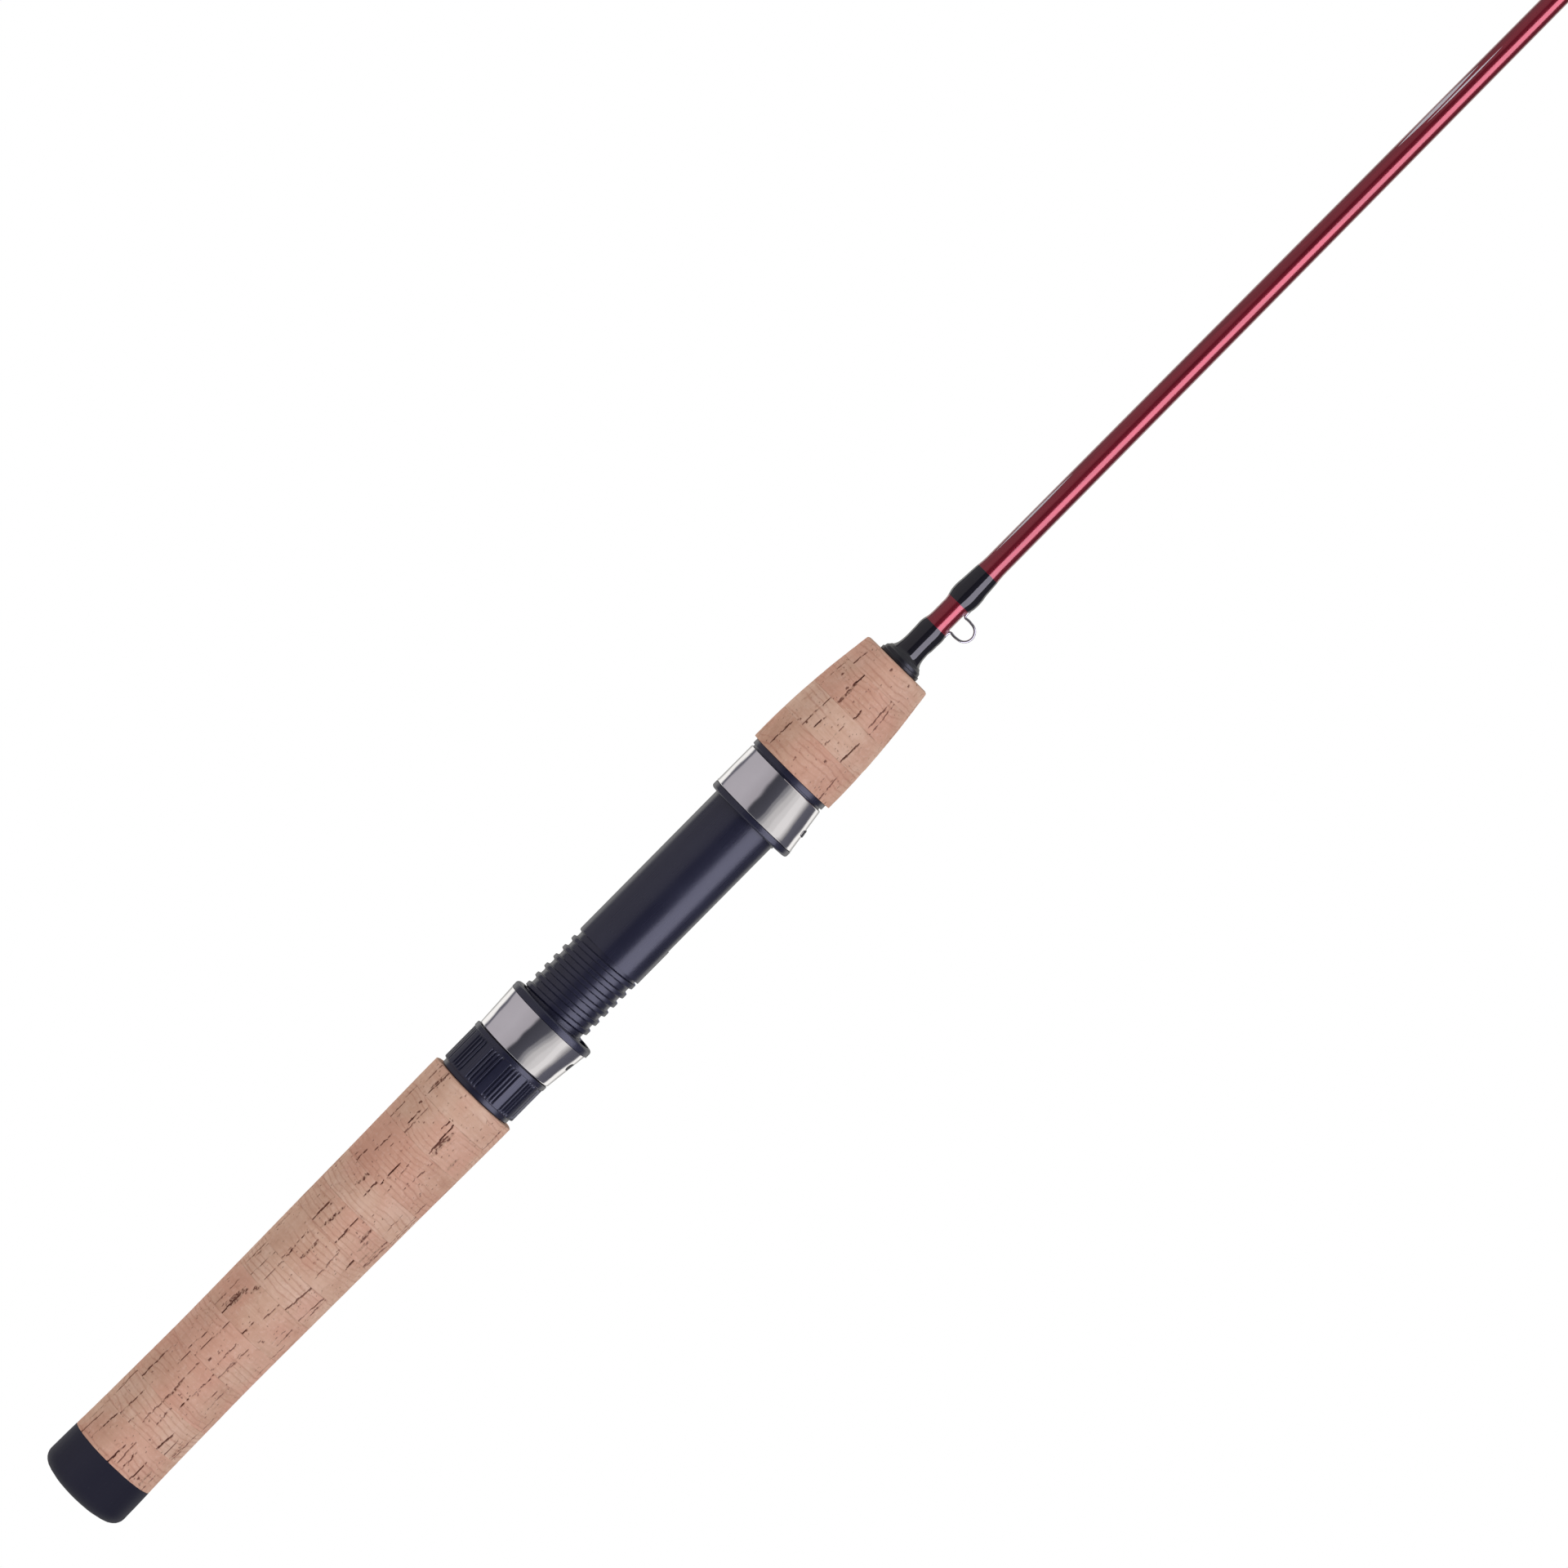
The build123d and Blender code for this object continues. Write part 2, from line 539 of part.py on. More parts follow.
FINISH_RUN = 1.1             # finish beyond the end of the thread
FINISH_MID = 0.35            # a point on its sloping end, beyond the thread
FINISH_SHOULDER = 0.9        # full thickness this far inside the thread's end
FINISH_T = 0.14              # least thickness over the thread
FINISH_FALL = 0.03           # the front end is this much thinner in radius
SMALLEST_BEAD = 1.0          # mm3; smaller scraps left by the cuts are dropped


def hoop_and_ring(x, drop, ring_od, ring_id):
    """The hoop of a frame and the ring inside it, both about a line along X."""
    line = Axis((0, 0, -drop), (1, 0, 0))
    ring_w = 1.1 + 0.045 * ring_od
    hoop_w = 0.8 * ring_w
    with BuildPart() as hoop:
        with BuildSketch(Plane.XZ):
            with Locations((x, -drop + ring_od / 2 + HOOP_T / 2)):
                RectangleRounded(hoop_w, HOOP_T, HOOP_CORNER_R)
        revolve(axis=line)

    bore, outside = ring_id / 2, ring_od / 2
    lip = bore + 0.35 * (outside - bore)
    bow_x = RING_LAND + 0.62 * (ring_w / 2 - RING_LAND)
    bow_r = bore + 0.10 * (outside - bore)
    rear, front = x - ring_w / 2, x + ring_w / 2
    with BuildPart() as ring:
        with BuildSketch(Plane.XZ):
            with BuildLine():
                ThreePointArc((rear, lip), (x - bow_x, bow_r), (x - RING_LAND, bore))
                Line((x - RING_LAND, bore), (x + RING_LAND, bore))
                ThreePointArc((x + RING_LAND, bore), (x + bow_x, bow_r), (front, lip))
                Polyline((front, lip), (front, outside - RING_CHAMFER),
                         (x + hoop_w * 0.3, outside), (x - hoop_w * 0.3, outside),
                         (rear, outside - RING_CHAMFER), (rear, lip))
            make_face()
        revolve(axis=Axis.X)
    return hoop.part, Pos(0, 0, -drop) * ring.part


def fitted_ring(ring, frame):
    """A ring less whatever it shares with its frame."""
    with BuildPart() as fitted:
        add(ring)
        add(frame, mode=Mode.SUBTRACT)
    return fitted.part


def plate(outline, width):
    """A flat strip, seen from the side as the outline given, this wide in Y."""
    with BuildPart() as strip:
        with BuildSketch(Plane.XZ):
            with BuildLine():
                Polyline(outline, close=True)
            make_face()
        extrude(amount=width / 2, both=True)
    return strip.part


def wound_foot(foot_z, foot_w, foot_t):
    """Depth below the axis and half width of a foot with its thread."""
    return -foot_z + foot_t + THREAD_UNDER_FOOT, foot_w / 2 + THREAD_BESIDE_FOOT


def wrap_over_foot(start, end, foot_z, foot_w, foot_t):
    """Thread wound round the blank and a guide's foot: the tight outline of both."""
    radius = along(BLANK_TAPER, start) + THREAD_ON_BLANK
    low, half = wound_foot(foot_z, foot_w, foot_t)
    # where the thread leaves the blank for the foot's corner, as an angle from -Z
    reach = math.hypot(low, half)
    side = math.acos(min(1.0, radius / reach)) + math.atan2(half, low)
    tangent_y, tangent_z = radius * math.sin(side), -radius * math.cos(side)
    with BuildPart() as wound:
        with BuildSketch(Plane.YZ.offset(start)):
            Circle(radius)
            with BuildLine():
                Polyline((0, 0), (tangent_y, tangent_z), (half, -low), (-half, -low),
                         (-tangent_y, tangent_z), close=True)
            make_face()
        extrude(amount=end - start)
    return wound.part


def finish_over_foot(start, end, foot_z, foot_w, foot_t):
    """The clear finish: a smooth bead, thicker on the side of the foot."""
    blank_r = along(BLANK_TAPER, 0.5 * (start + end))
    low, half = wound_foot(foot_z, foot_w, foot_t)
    shift = 0.16 * (foot_t + 0.7)        # bead's axis below the rod axis
    top = max(math.hypot(half, low - shift), blank_r + THREAD_ON_BLANK + shift) + FINISH_T
    edge = blank_r - shift + 0.10
    slope_r = 0.45 * top + 0.55 * edge
    rear_edge = (start - FINISH_RUN, edge)
    rear_top = (start + FINISH_SHOULDER, top)
    front_top = (end - FINISH_SHOULDER, top - FINISH_FALL)
    front_edge = (end + FINISH_RUN, edge - FINISH_FALL)
    with BuildPart() as bead:
        with BuildSketch(Plane.XZ):
            with BuildLine():
                Spline(rear_edge, (start - FINISH_MID, slope_r), rear_top,
                       tangents=[(1.0, 0.25), (1.0, 0.0)])
                Line(rear_top, front_top)
                Spline(front_top, (end + FINISH_MID, slope_r), front_edge,
                       tangents=[(1.0, 0.0), (1.0, -0.25)])
                Polyline(front_edge, (front_edge[0], 0), (rear_edge[0], 0), rear_edge)
            make_face()
        revolve(axis=Axis.X)
    return Pos(0, 0, -shift) * bead.part


def build_guide(name, dimensions, strip, ways):
    """Build the four pieces of a guide. It has a leg and foot for each of the
    ways: 1 is toward the tip, -1 toward the butt."""
    x, ring_od, ring_id, drop, foot_len, run = dimensions
    foot_w, foot_t, leg_t = strip
    hoop, ring = hoop_and_ring(x, drop, ring_od, ring_id)
    hoop_top = -drop + ring_od / 2 + LEG_OVERLAP
    legs = []
    bindings = []                # arguments of the wrap and finish of each foot
    for way in ways:
        heel, toe = x + way * run, x + way * (run + foot_len)
        foot_z = -along(BLANK_TAPER, min(heel, toe))
        leg_x = x + way * LEG_OFFSET
        legs.append([
            (heel, foot_z), (toe, foot_z), (toe, foot_z - TOE_T),
            (toe - way * TOE_TAPER, foot_z - foot_t), (heel + way * 0.5, foot_z - foot_t),
            (leg_x, hoop_top), (leg_x - way * leg_t, hoop_top),
            (heel - way * 0.4, foot_z - 0.1)])
        start, end = sorted((heel + way * WRAP_HEEL_GAP, toe + way * WRAP_TOE_OVERRUN))
        bindings.append((start, end, foot_z, foot_w, foot_t))

    with BuildPart() as frame:
        add(hoop)
        for outline in legs:
            add(plate(outline, foot_w))
        # the ring's seat stays open
        with BuildSketch(Plane.YZ.offset(x - 4)):
            with Locations((0, -drop)):
                Circle(ring_od / 2)
        extrude(amount=8, mode=Mode.SUBTRACT)
        add(blank.part, mode=Mode.SUBTRACT)
    save(frame.part, f"{name}_frame")
    save(fitted_ring(ring, frame.part), f"{name}_ring")

    with BuildPart() as wrap:
        for binding in bindings:
            add(wrap_over_foot(*binding))
        add(blank.part, mode=Mode.SUBTRACT)
        add(frame.part, mode=Mode.SUBTRACT)
    save(wrap.part, f"{name}_wrap")

    with BuildPart() as bead_cut:
        for binding in bindings:
            add(finish_over_foot(*binding))
        add(blank.part, mode=Mode.SUBTRACT)
        add(frame.part, mode=Mode.SUBTRACT)
        for binding in bindings:
            add(wrap_over_foot(*binding), mode=Mode.SUBTRACT)
    with BuildPart() as finish:
        add([bead for bead in bead_cut.part.solids() if bead.volume > SMALLEST_BEAD])
    save(finish.part, f"{name}_finish")


# The first guide stands on two feet, the others on one, on the tip side.
build_guide("guide_1", GUIDES[0], FIRST_GUIDE_STRIP, ways=(1, -1))
for number, dimensions in enumerate(GUIDES[1:], start=2):
    build_guide(f"guide_{number}", dimensions, OTHER_GUIDE_STRIP, ways=(1,))

# ------------------------------------------------------------------- tip-top
# A tube glued over the end of the blank, with a hoop and ring at its front
# and two struts; a short wrap and finish behind it.
TIP_RING_OD, TIP_RING_ID = 5.5, 3.6
TIP_DROP = 3.7               # ring centre below the rod axis
TIP_X = ROD_LENGTH - 0.54    # middle of the hoop
TIP_TUBE_X0 = 900.0
TIP_TUBE_R = 1.45
TIP_TUBE = [
    (TIP_TUBE_X0, 0), (TIP_TUBE_X0, TIP_TUBE_R - 0.15), (TIP_TUBE_X0 + 0.2, TIP_TUBE_R),
    (TIP_X - 0.2, TIP_TUBE_R), (TIP_X + 0.2, TIP_TUBE_R - 0.4), (TIP_X + 0.2, 0),
]
STRUT_R = 0.36
STRUT_RUN = 8.5              # length of a strut along the rod
STRUT_REAR = (1.1, -0.5)     # distance to the side, height
STRUT_FRONT = (2.75, -TIP_DROP - 1.2)

hoop, ring = hoop_and_ring(TIP_X, TIP_DROP, TIP_RING_OD, TIP_RING_ID)
with BuildPart() as tip_top_frame:
    add(turned(TIP_TUBE))
    add(hoop)
    for side in (-1, 1):
        with BuildLine() as strut_path:
            Line((TIP_X - STRUT_RUN, side * STRUT_REAR[0], STRUT_REAR[1]),
                 (TIP_X, side * STRUT_FRONT[0], STRUT_FRONT[1]))
        with BuildSketch(Plane(origin=strut_path.line @ 0, z_dir=strut_path.line % 0)):
            Circle(STRUT_R)
        sweep(path=strut_path.line)
    # the ring's seat stays open
    with BuildSketch(Plane.YZ.offset(TIP_X - 3)):
        with Locations((0, -TIP_DROP)):
            Circle(TIP_RING_OD / 2)
    extrude(amount=6, mode=Mode.SUBTRACT)
    add(blank.part, mode=Mode.SUBTRACT)
save(tip_top_frame.part, "tip_top_frame")
save(fitted_ring(ring, tip_top_frame.part), "tip_top_ring")

TIP_WRAP = [(895.5, 0.4), (895.5, 1.12), (899.9, 1.12), (899.9, 0.4)]
TIP_FINISH = [
    (894.4, 0.4), (894.4, 1.02), (895.6, 1.22), (897.8, 1.28), (899.4, 1.27),
    (TIP_TUBE_X0, 1.25), (TIP_TUBE_X0, 0.4),
]
save(turned(TIP_WRAP, blank.part), "tip_wrap")
save(turned(TIP_FINISH, turned(TIP_WRAP), blank.part, tip_top_frame.part), "tip_finish")
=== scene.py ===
"""A fishing rod: cork grip, reel seat, hook keeper, lacquered blank and its guides.

The rod lies along +X with its butt cap at x = 0 and its tip near x = 911 mm. Its axis is
the X axis, and the reel side faces -Z. Pieces are measured in mm and built in metres;
materials, lights and camera are in metres. An angle about the rod is 0 toward -Y and
grows toward +Z.
"""
import bpy
import bmesh
import json
import math
import numpy as np
from mathutils import Vector, Matrix

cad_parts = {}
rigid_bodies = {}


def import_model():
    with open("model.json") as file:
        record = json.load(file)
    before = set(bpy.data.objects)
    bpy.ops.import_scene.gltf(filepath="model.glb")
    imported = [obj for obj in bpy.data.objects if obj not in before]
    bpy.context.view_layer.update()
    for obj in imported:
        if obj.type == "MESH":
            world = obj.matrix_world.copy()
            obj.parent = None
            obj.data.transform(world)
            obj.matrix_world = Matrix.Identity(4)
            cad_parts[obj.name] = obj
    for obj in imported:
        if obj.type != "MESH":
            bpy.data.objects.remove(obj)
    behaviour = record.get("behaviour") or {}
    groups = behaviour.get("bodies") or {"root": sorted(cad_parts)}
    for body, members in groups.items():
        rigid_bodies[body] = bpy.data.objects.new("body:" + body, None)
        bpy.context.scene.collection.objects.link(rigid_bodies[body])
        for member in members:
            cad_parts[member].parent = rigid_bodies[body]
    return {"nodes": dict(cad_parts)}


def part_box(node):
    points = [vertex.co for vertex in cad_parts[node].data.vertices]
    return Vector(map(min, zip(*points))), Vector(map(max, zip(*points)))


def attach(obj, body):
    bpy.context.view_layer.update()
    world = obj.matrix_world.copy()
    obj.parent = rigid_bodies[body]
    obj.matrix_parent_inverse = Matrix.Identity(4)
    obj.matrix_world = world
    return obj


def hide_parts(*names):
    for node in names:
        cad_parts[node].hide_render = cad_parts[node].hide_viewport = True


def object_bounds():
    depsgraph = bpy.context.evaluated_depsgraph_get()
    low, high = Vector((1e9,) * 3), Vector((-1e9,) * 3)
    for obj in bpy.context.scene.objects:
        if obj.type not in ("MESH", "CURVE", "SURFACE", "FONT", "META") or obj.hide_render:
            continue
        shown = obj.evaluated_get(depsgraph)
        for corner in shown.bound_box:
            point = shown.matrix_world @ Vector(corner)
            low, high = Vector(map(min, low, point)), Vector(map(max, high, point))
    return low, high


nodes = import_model()["nodes"]
cad_lo, cad_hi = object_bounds()
MM = 0.001
DENSITY = 1.0     # mesh density, coarser for a quick build

# Stations along the rod where pieces meet, mm
CAP_END = 13.3
REAR_END = 141.5        # rear cork meets the seat thread
THREAD_END = 189.6
SEAT_END = 252.0        # fixed hood shell meets the trim ring
TRIM_END = 254.1
FORE_END = 291.6        # fore cork meets the winding check
CHECK_END = 294.5       # winding check meets the rear keeper wrap

# Shared radii and sizes, mm
BLANK_R = 3.15
SPIGOT_R = 10.0         # cork spigot inside the butt cap
SPIGOT_START = 4.0
WRAP_PITCH = 0.20       # from one thread turn to the next


# ------------------------------------------------------------ noise and curves
def hash3(i, j, k, seed):
    mixed = (i * 374761393 + j * 668265263 + k * 2147483647 + seed * 974634777).astype(np.int64)
    mixed = (mixed ^ (mixed >> 13)) * 1274126177
    mixed = mixed & 0x7FFFFFFF
    mixed = (mixed ^ (mixed >> 16)) * 2246822519
    mixed = mixed & 0x7FFFFFFF
    return mixed / float(0x7FFFFFFF)


def value_noise(x, y, z, seed):
    """Smooth value noise, 0 to 1."""
    cells = [np.floor(value).astype(np.int64) for value in (x, y, z)]
    blends = []
    for value, cell in zip((x, y, z), cells):
        part = value - cell
        blends.append(part * part * (3 - 2 * part))
    total = 0
    for i in (0, 1):
        for j in (0, 1):
            for k in (0, 1):
                weight = blends[0] if i else 1 - blends[0]
                weight = weight * (blends[1] if j else 1 - blends[1])
                weight = weight * (blends[2] if k else 1 - blends[2])
                total = total + weight * hash3(cells[0] + i, cells[1] + j, cells[2] + k, seed)
    return total


def fbm(x, y, z, seed, octaves):
    """Value noise summed over octaves, each twice as fine and half as strong."""
    total, weight, weights = 0, 1.0, 0.0
    for octave in range(octaves):
        scale = 2**octave
        total = total + weight * value_noise(x * scale, y * scale, z * scale, seed + 17 * octave)
        weights += weight
        weight *= 0.5
    return total / weights


def smooth(low, high, value):
    """0 below low, 1 above high, with an S-shaped rise between."""
    part = np.clip((np.asarray(value, float) - low) / (high - low), 0, 1)
    return part * part * (3 - 2 * part)


def curve(points, x):
    """Smooth curve through (x, value) points."""
    knots = np.array([point[0] for point in points], float)
    values = np.array([point[1] for point in points], float)
    slopes = np.gradient(values, knots)
    x = np.asarray(x, float)
    i = np.clip(np.searchsorted(knots, x) - 1, 0, len(knots) - 2)
    span = knots[i + 1] - knots[i]
    t = np.clip((x - knots[i]) / span, 0, 1)
    return ((2 * t**3 - 3 * t**2 + 1) * values[i] + (t**3 - 2 * t**2 + t) * span * slopes[i]
            + (3 * t**2 - 2 * t**3) * values[i + 1] + (t**3 - t**2) * span * slopes[i + 1])


def rounded(corners):
    """A profile from (x, radius, corner rounding) rows; the rounding of both ends is unused."""
    steps = 4
    points = [corner[:2] for corner in corners]
    rounded_points = [points[0]]
    for n in range(1, len(points) - 1):
        before, corner, after = (np.array(point, float) for point in points[n - 1:n + 2])
        back, ahead = before - corner, after - corner
        back_length, ahead_length = np.linalg.norm(back), np.linalg.norm(ahead)
        cut = min(corners[n][2], 0.45 * back_length, 0.45 * ahead_length)
        start, end = corner + back / back_length * cut, corner + ahead / ahead_length * cut
        for s in range(steps + 1):
            t = s / steps
            rounded_points.append(tuple((1 - t) ** 2 * start + 2 * t * (1 - t) * corner + t * t * end))
    rounded_points.append(points[-1])
    return rounded_points


def densify(points, step):
    """Splits a polyline so that no piece is longer than step."""
    dense = [points[0]]
    for start, end in zip(points, points[1:]):
        run, rise = end[0] - start[0], end[1] - start[1]
        count = max(1, int(math.ceil(math.hypot(run, rise) / step)))
        for s in range(1, count + 1):
            dense.append((start[0] + run * s / count, start[1] + rise * s / count))
    return dense


# ---------------------------------------------------------------------- meshes
def ring_angles(columns):
    return np.arange(columns) / columns * 2 * math.pi


def about_rod(x, radius, angle, centre_z=0.0):
    """Points at an angle about the rod; the inputs are broadcast together."""
    parts = (x, -radius * np.cos(angle), radius * np.sin(angle) + centre_z)
    return np.stack(np.broadcast_arrays(*parts), -1)


def linked_object(name, data):
    obj = bpy.data.objects.new(name, data)
    bpy.context.scene.collection.objects.link(obj)
    return obj


def shade_smooth(mesh, sharp):
    """Smooth shading with edges sharper than an angle in degrees kept hard."""
    mesh.polygons.foreach_set("use_smooth", np.ones(len(mesh.polygons), bool))
    mesh.set_sharp_from_angle(angle=math.radians(sharp))


def grid_object(name, points, attributes=None, capped=False, sharp=38.0):
    """A mesh from rows x columns of points in mm. Columns wrap round. The last row joins
    the first, unless capped, when fans close the two ends."""
    rows, columns = points.shape[:2]
    verts = points.reshape(-1, 3) * MM
    row = np.arange(rows - 1 if capped else rows)[:, None]
    column = np.arange(columns)[None, :]
    next_row, next_column = (row + 1) % rows, (column + 1) % columns
    quads = np.stack([row * columns + column, row * columns + next_column,
                      next_row * columns + next_column, next_row * columns + column], -1)
    faces = quads.reshape(-1, 4).tolist()
    if capped:
        centres = []
        for end, flip in ((0, True), (rows - 1, False)):
            centre = len(verts) + len(centres)
            centres.append(points[end].mean(0) * MM)
            for k in range(columns):
                here, beside = end * columns + k, end * columns + (k + 1) % columns
                faces.append([centre, beside, here] if flip else [centre, here, beside])
        verts = np.vstack([verts, np.array(centres)])
    mesh = bpy.data.meshes.new(name)
    mesh.from_pydata(verts.tolist(), [], faces)
    mesh.update()
    work = bmesh.new()
    work.from_mesh(mesh)
    bmesh.ops.recalc_face_normals(work, faces=work.faces)
    work.to_mesh(mesh)
    work.free()
    shade_smooth(mesh, sharp)
    for key, values in (attributes or {}).items():
        flat = np.zeros(len(mesh.vertices), np.float32)
        flat[: values.size] = values.reshape(-1)
        mesh.attributes.new(key, "FLOAT", "POINT").data.foreach_set("value", flat)
    return linked_object(name, mesh)


def lathe(name, profile, columns, shape=None, capped=False, sharp=38.0):
    """A turned piece from (x, radius) points; shape(x, angle, radius) bends the radius."""
    outline = np.array(profile, float)
    angle = ring_angles(columns)[None, :]
    x = outline[:, 0][:, None] + 0 * angle
    radius = outline[:, 1][:, None] + 0 * angle
    angle = angle + 0 * x
    if shape is not None:
        radius = shape(x, angle, radius)
    return grid_object(name, about_rod(x, radius, angle), capped=capped, sharp=sharp)


def tube_along(name, path, radius, columns):
    """A round wire along a list of points that lie in the XZ plane."""
    path = np.array(path, float)
    tangents = np.gradient(path, axis=0)
    tangents /= np.linalg.norm(tangents, axis=1)[:, None]
    across = np.array([0.0, 1.0, 0.0])
    angle = ring_angles(columns)[:, None]
    rings = []
    for point, tangent in zip(path, tangents):
        side = np.cross(tangent, across)
        side /= np.linalg.norm(side)
        rings.append(point + radius * (np.cos(angle) * across + np.sin(angle) * side))
    return grid_object(name, np.array(rings), capped=True)


# ------------------------------------------------------------- material helpers
def srgb(*channels):
    """A linear colour from 0-255 sRGB channels."""
    def linear(channel):
        channel /= 255.0
        return channel / 12.92 if channel <= 0.04045 else ((channel + 0.055) / 1.055) ** 2.4
    return tuple(linear(channel) for channel in channels) + (1.0,)


class Graph:
    """Builds the node tree of a material or a world."""

    def __init__(self, owner, output_kind):
        owner.use_nodes = True
        self.owner = owner
        self.tree = owner.node_tree
        self.tree.nodes.clear()
        self.output = self.tree.nodes.new(output_kind)

    def put(self, node, key, value):
        """Links a socket to an input, or sets the input's value."""
        if isinstance(value, bpy.types.NodeSocket):
            self.tree.links.new(value, node.inputs[key])
        else:
            node.inputs[key].default_value = value

    def node(self, kind, **inputs):
        """A new node; an underscore in an input's name stands for a space."""
        node = self.tree.nodes.new(kind)
        for key, value in inputs.items():
            self.put(node, key.replace("_", " "), value)
        return node

    def math(self, operation, first, second=0.0):
        node = self.tree.nodes.new("ShaderNodeMath")
        node.operation = operation
        self.put(node, 0, first)
        self.put(node, 1, second)
        return node.outputs[0]

    def add(self, first, second):
        return self.math("ADD", first, second)

    def subtract(self, first, second):
        return self.math("SUBTRACT", first, second)

    def multiply(self, first, second):
        return self.math("MULTIPLY", first, second)

    def maximum(self, first, second):
        return self.math("MAXIMUM", first, second)

    def minimum(self, first, second):
        return self.math("MINIMUM", first, second)

    def scaled(self, value, by, plus):
        return self.add(self.multiply(value, by), plus)

    def vary(self, value, noise, by):
        """Moves a value up and down with a noise centred on 0.5."""
        return self.add(value, self.multiply(self.subtract(noise, 0.5), by))

    def mix(self, factor, first, second):
        node = self.tree.nodes.new("ShaderNodeMix")
        node.data_type = "RGBA"
        for key, value in ((0, factor), (6, first), (7, second)):
            self.put(node, key, value)
        return node.outputs[2]

    def tint(self, base, mask, amount, colour):
        """Lays a colour over base where mask is high."""
        return self.mix(self.multiply(mask, amount), base, colour)

    def ramp(self, factor, stops, interpolation="LINEAR"):
        """A colour ramp from (position, grey level or RGBA) stops."""
        node = self.tree.nodes.new("ShaderNodeValToRGB")
        node.color_ramp.interpolation = interpolation
        elements = node.color_ramp.elements
        while len(elements) < len(stops):
            elements.new(0.5)
        for element, (position, colour) in zip(elements, stops):
            element.position = position
            element.color = colour if hasattr(colour, "__len__") else (colour, colour, colour, 1)
        self.put(node, 0, factor)
        return node.outputs[0]

    def rise(self, factor, start, end):
        return self.ramp(factor, [(start, 0.0), (end, 1.0)])

    def noise(self, vector, scale, detail, rough):
        return self.node("ShaderNodeTexNoise", Vector=vector, Scale=scale, Detail=detail,
                         Roughness=rough).outputs["Fac"]

    def coords(self, scale=(1, 1, 1)):
        source = self.tree.nodes.new("ShaderNodeTexCoord").outputs["Object"]
        return self.node("ShaderNodeMapping", Vector=source, Scale=scale).outputs[0]

    def grain(self, scale, detail, rough):
        """Noise in object space; scale is cells per metre, one number or one per axis."""
        scale = scale if hasattr(scale, "__len__") else (scale,) * 3
        return self.noise(self.coords(scale), 1.0, detail, rough)

    def split(self, vector):
        return self.node("ShaderNodeSeparateXYZ", Vector=vector).outputs

    def rod_angle(self, y, z):
        return self.math("ARCTAN2", z, self.multiply(y, -1.0))

    def attribute(self, name):
        node = self.tree.nodes.new("ShaderNodeAttribute")
        node.attribute_name = name
        return node.outputs["Fac"]

    def bump(self, height, strength, distance, normal=None):
        node = self.node("ShaderNodeBump", Height=height, Strength=strength, Distance=distance)
        if normal is not None:
            self.put(node, "Normal", normal)
        return node.outputs[0]

    def mix_shader(self, factor, first, second):
        node = self.tree.nodes.new("ShaderNodeMixShader")
        for key, value in enumerate((factor, first, second)):
            self.put(node, key, value)
        return node.outputs[0]

    def finish(self, shader):
        """Links the shader to the output and returns the material or world."""
        self.put(self.output, 0, shader)
        return self.owner

    def principled(self, **inputs):
        return self.finish(self.node("ShaderNodeBsdfPrincipled", **inputs).outputs[0])


def material_graph(name):
    return Graph(bpy.data.materials.new(name), "ShaderNodeOutputMaterial")


# -------------------------------------------------------------------- materials
def cork_material():
    """Cork, coloured by the attributes that cork_ring stores on the mesh."""
    graph = material_graph("cork")
    fine = graph.grain(1100, detail=4.0, rough=0.6)
    speck = graph.grain((520, 800, 800), detail=2.0, rough=0.5)
    hair = graph.grain((1300, 90, 90), detail=2.0, rough=0.55)
    tone, pit, fill, seam, grow, blush = (
        graph.attribute(key) for key in ("tone", "pit", "fill", "seam", "grow", "blush"))
    tones = [(0.0, srgb(196, 150, 124)), (0.35, srgb(214, 170, 142)),
             (0.6, srgb(224, 184, 156)), (1.0, srgb(238, 205, 180))]
    pit_cover = [(0.05, 0.0), (0.34, 0.80), (0.75, 0.96)]
    pale_grains = [(0.30, 1.0), (0.48, 0.0)]
    base = graph.ramp(tone, tones)
    base = graph.tint(base, graph.rise(blush, start=0.42, end=0.70), amount=0.42,
                      colour=srgb(224, 162, 138))
    base = graph.tint(base, graph.rise(hair, start=0.44, end=0.72), amount=0.20,
                      colour=srgb(186, 134, 108))
    base = graph.tint(base, grow, amount=0.46, colour=srgb(180, 116, 94))
    base = graph.tint(base, graph.rise(speck, start=0.62, end=0.80), amount=0.40,
                      colour=srgb(168, 116, 92))
    base = graph.tint(base, graph.ramp(fine, pale_grains), amount=0.20,
                      colour=srgb(246, 220, 198))
    base = graph.tint(base, fill, amount=0.62,
                      colour=graph.mix(fine, srgb(226, 190, 160), srgb(150, 100, 76)))
    base = graph.mix(graph.ramp(pit, pit_cover), base,
                     graph.mix(fine, srgb(126, 76, 56), srgb(88, 48, 38)))
    base = graph.tint(base, seam, amount=0.42, colour=srgb(148, 98, 78))
    height = graph.add(graph.multiply(fine, 0.6), graph.multiply(speck, 0.4))
    return graph.principled(
        Base_Color=base, Roughness=graph.scaled(fine, by=0.22, plus=0.62),
        Normal=graph.bump(height, strength=0.40, distance=0.00010), Specular_IOR_Level=0.25)


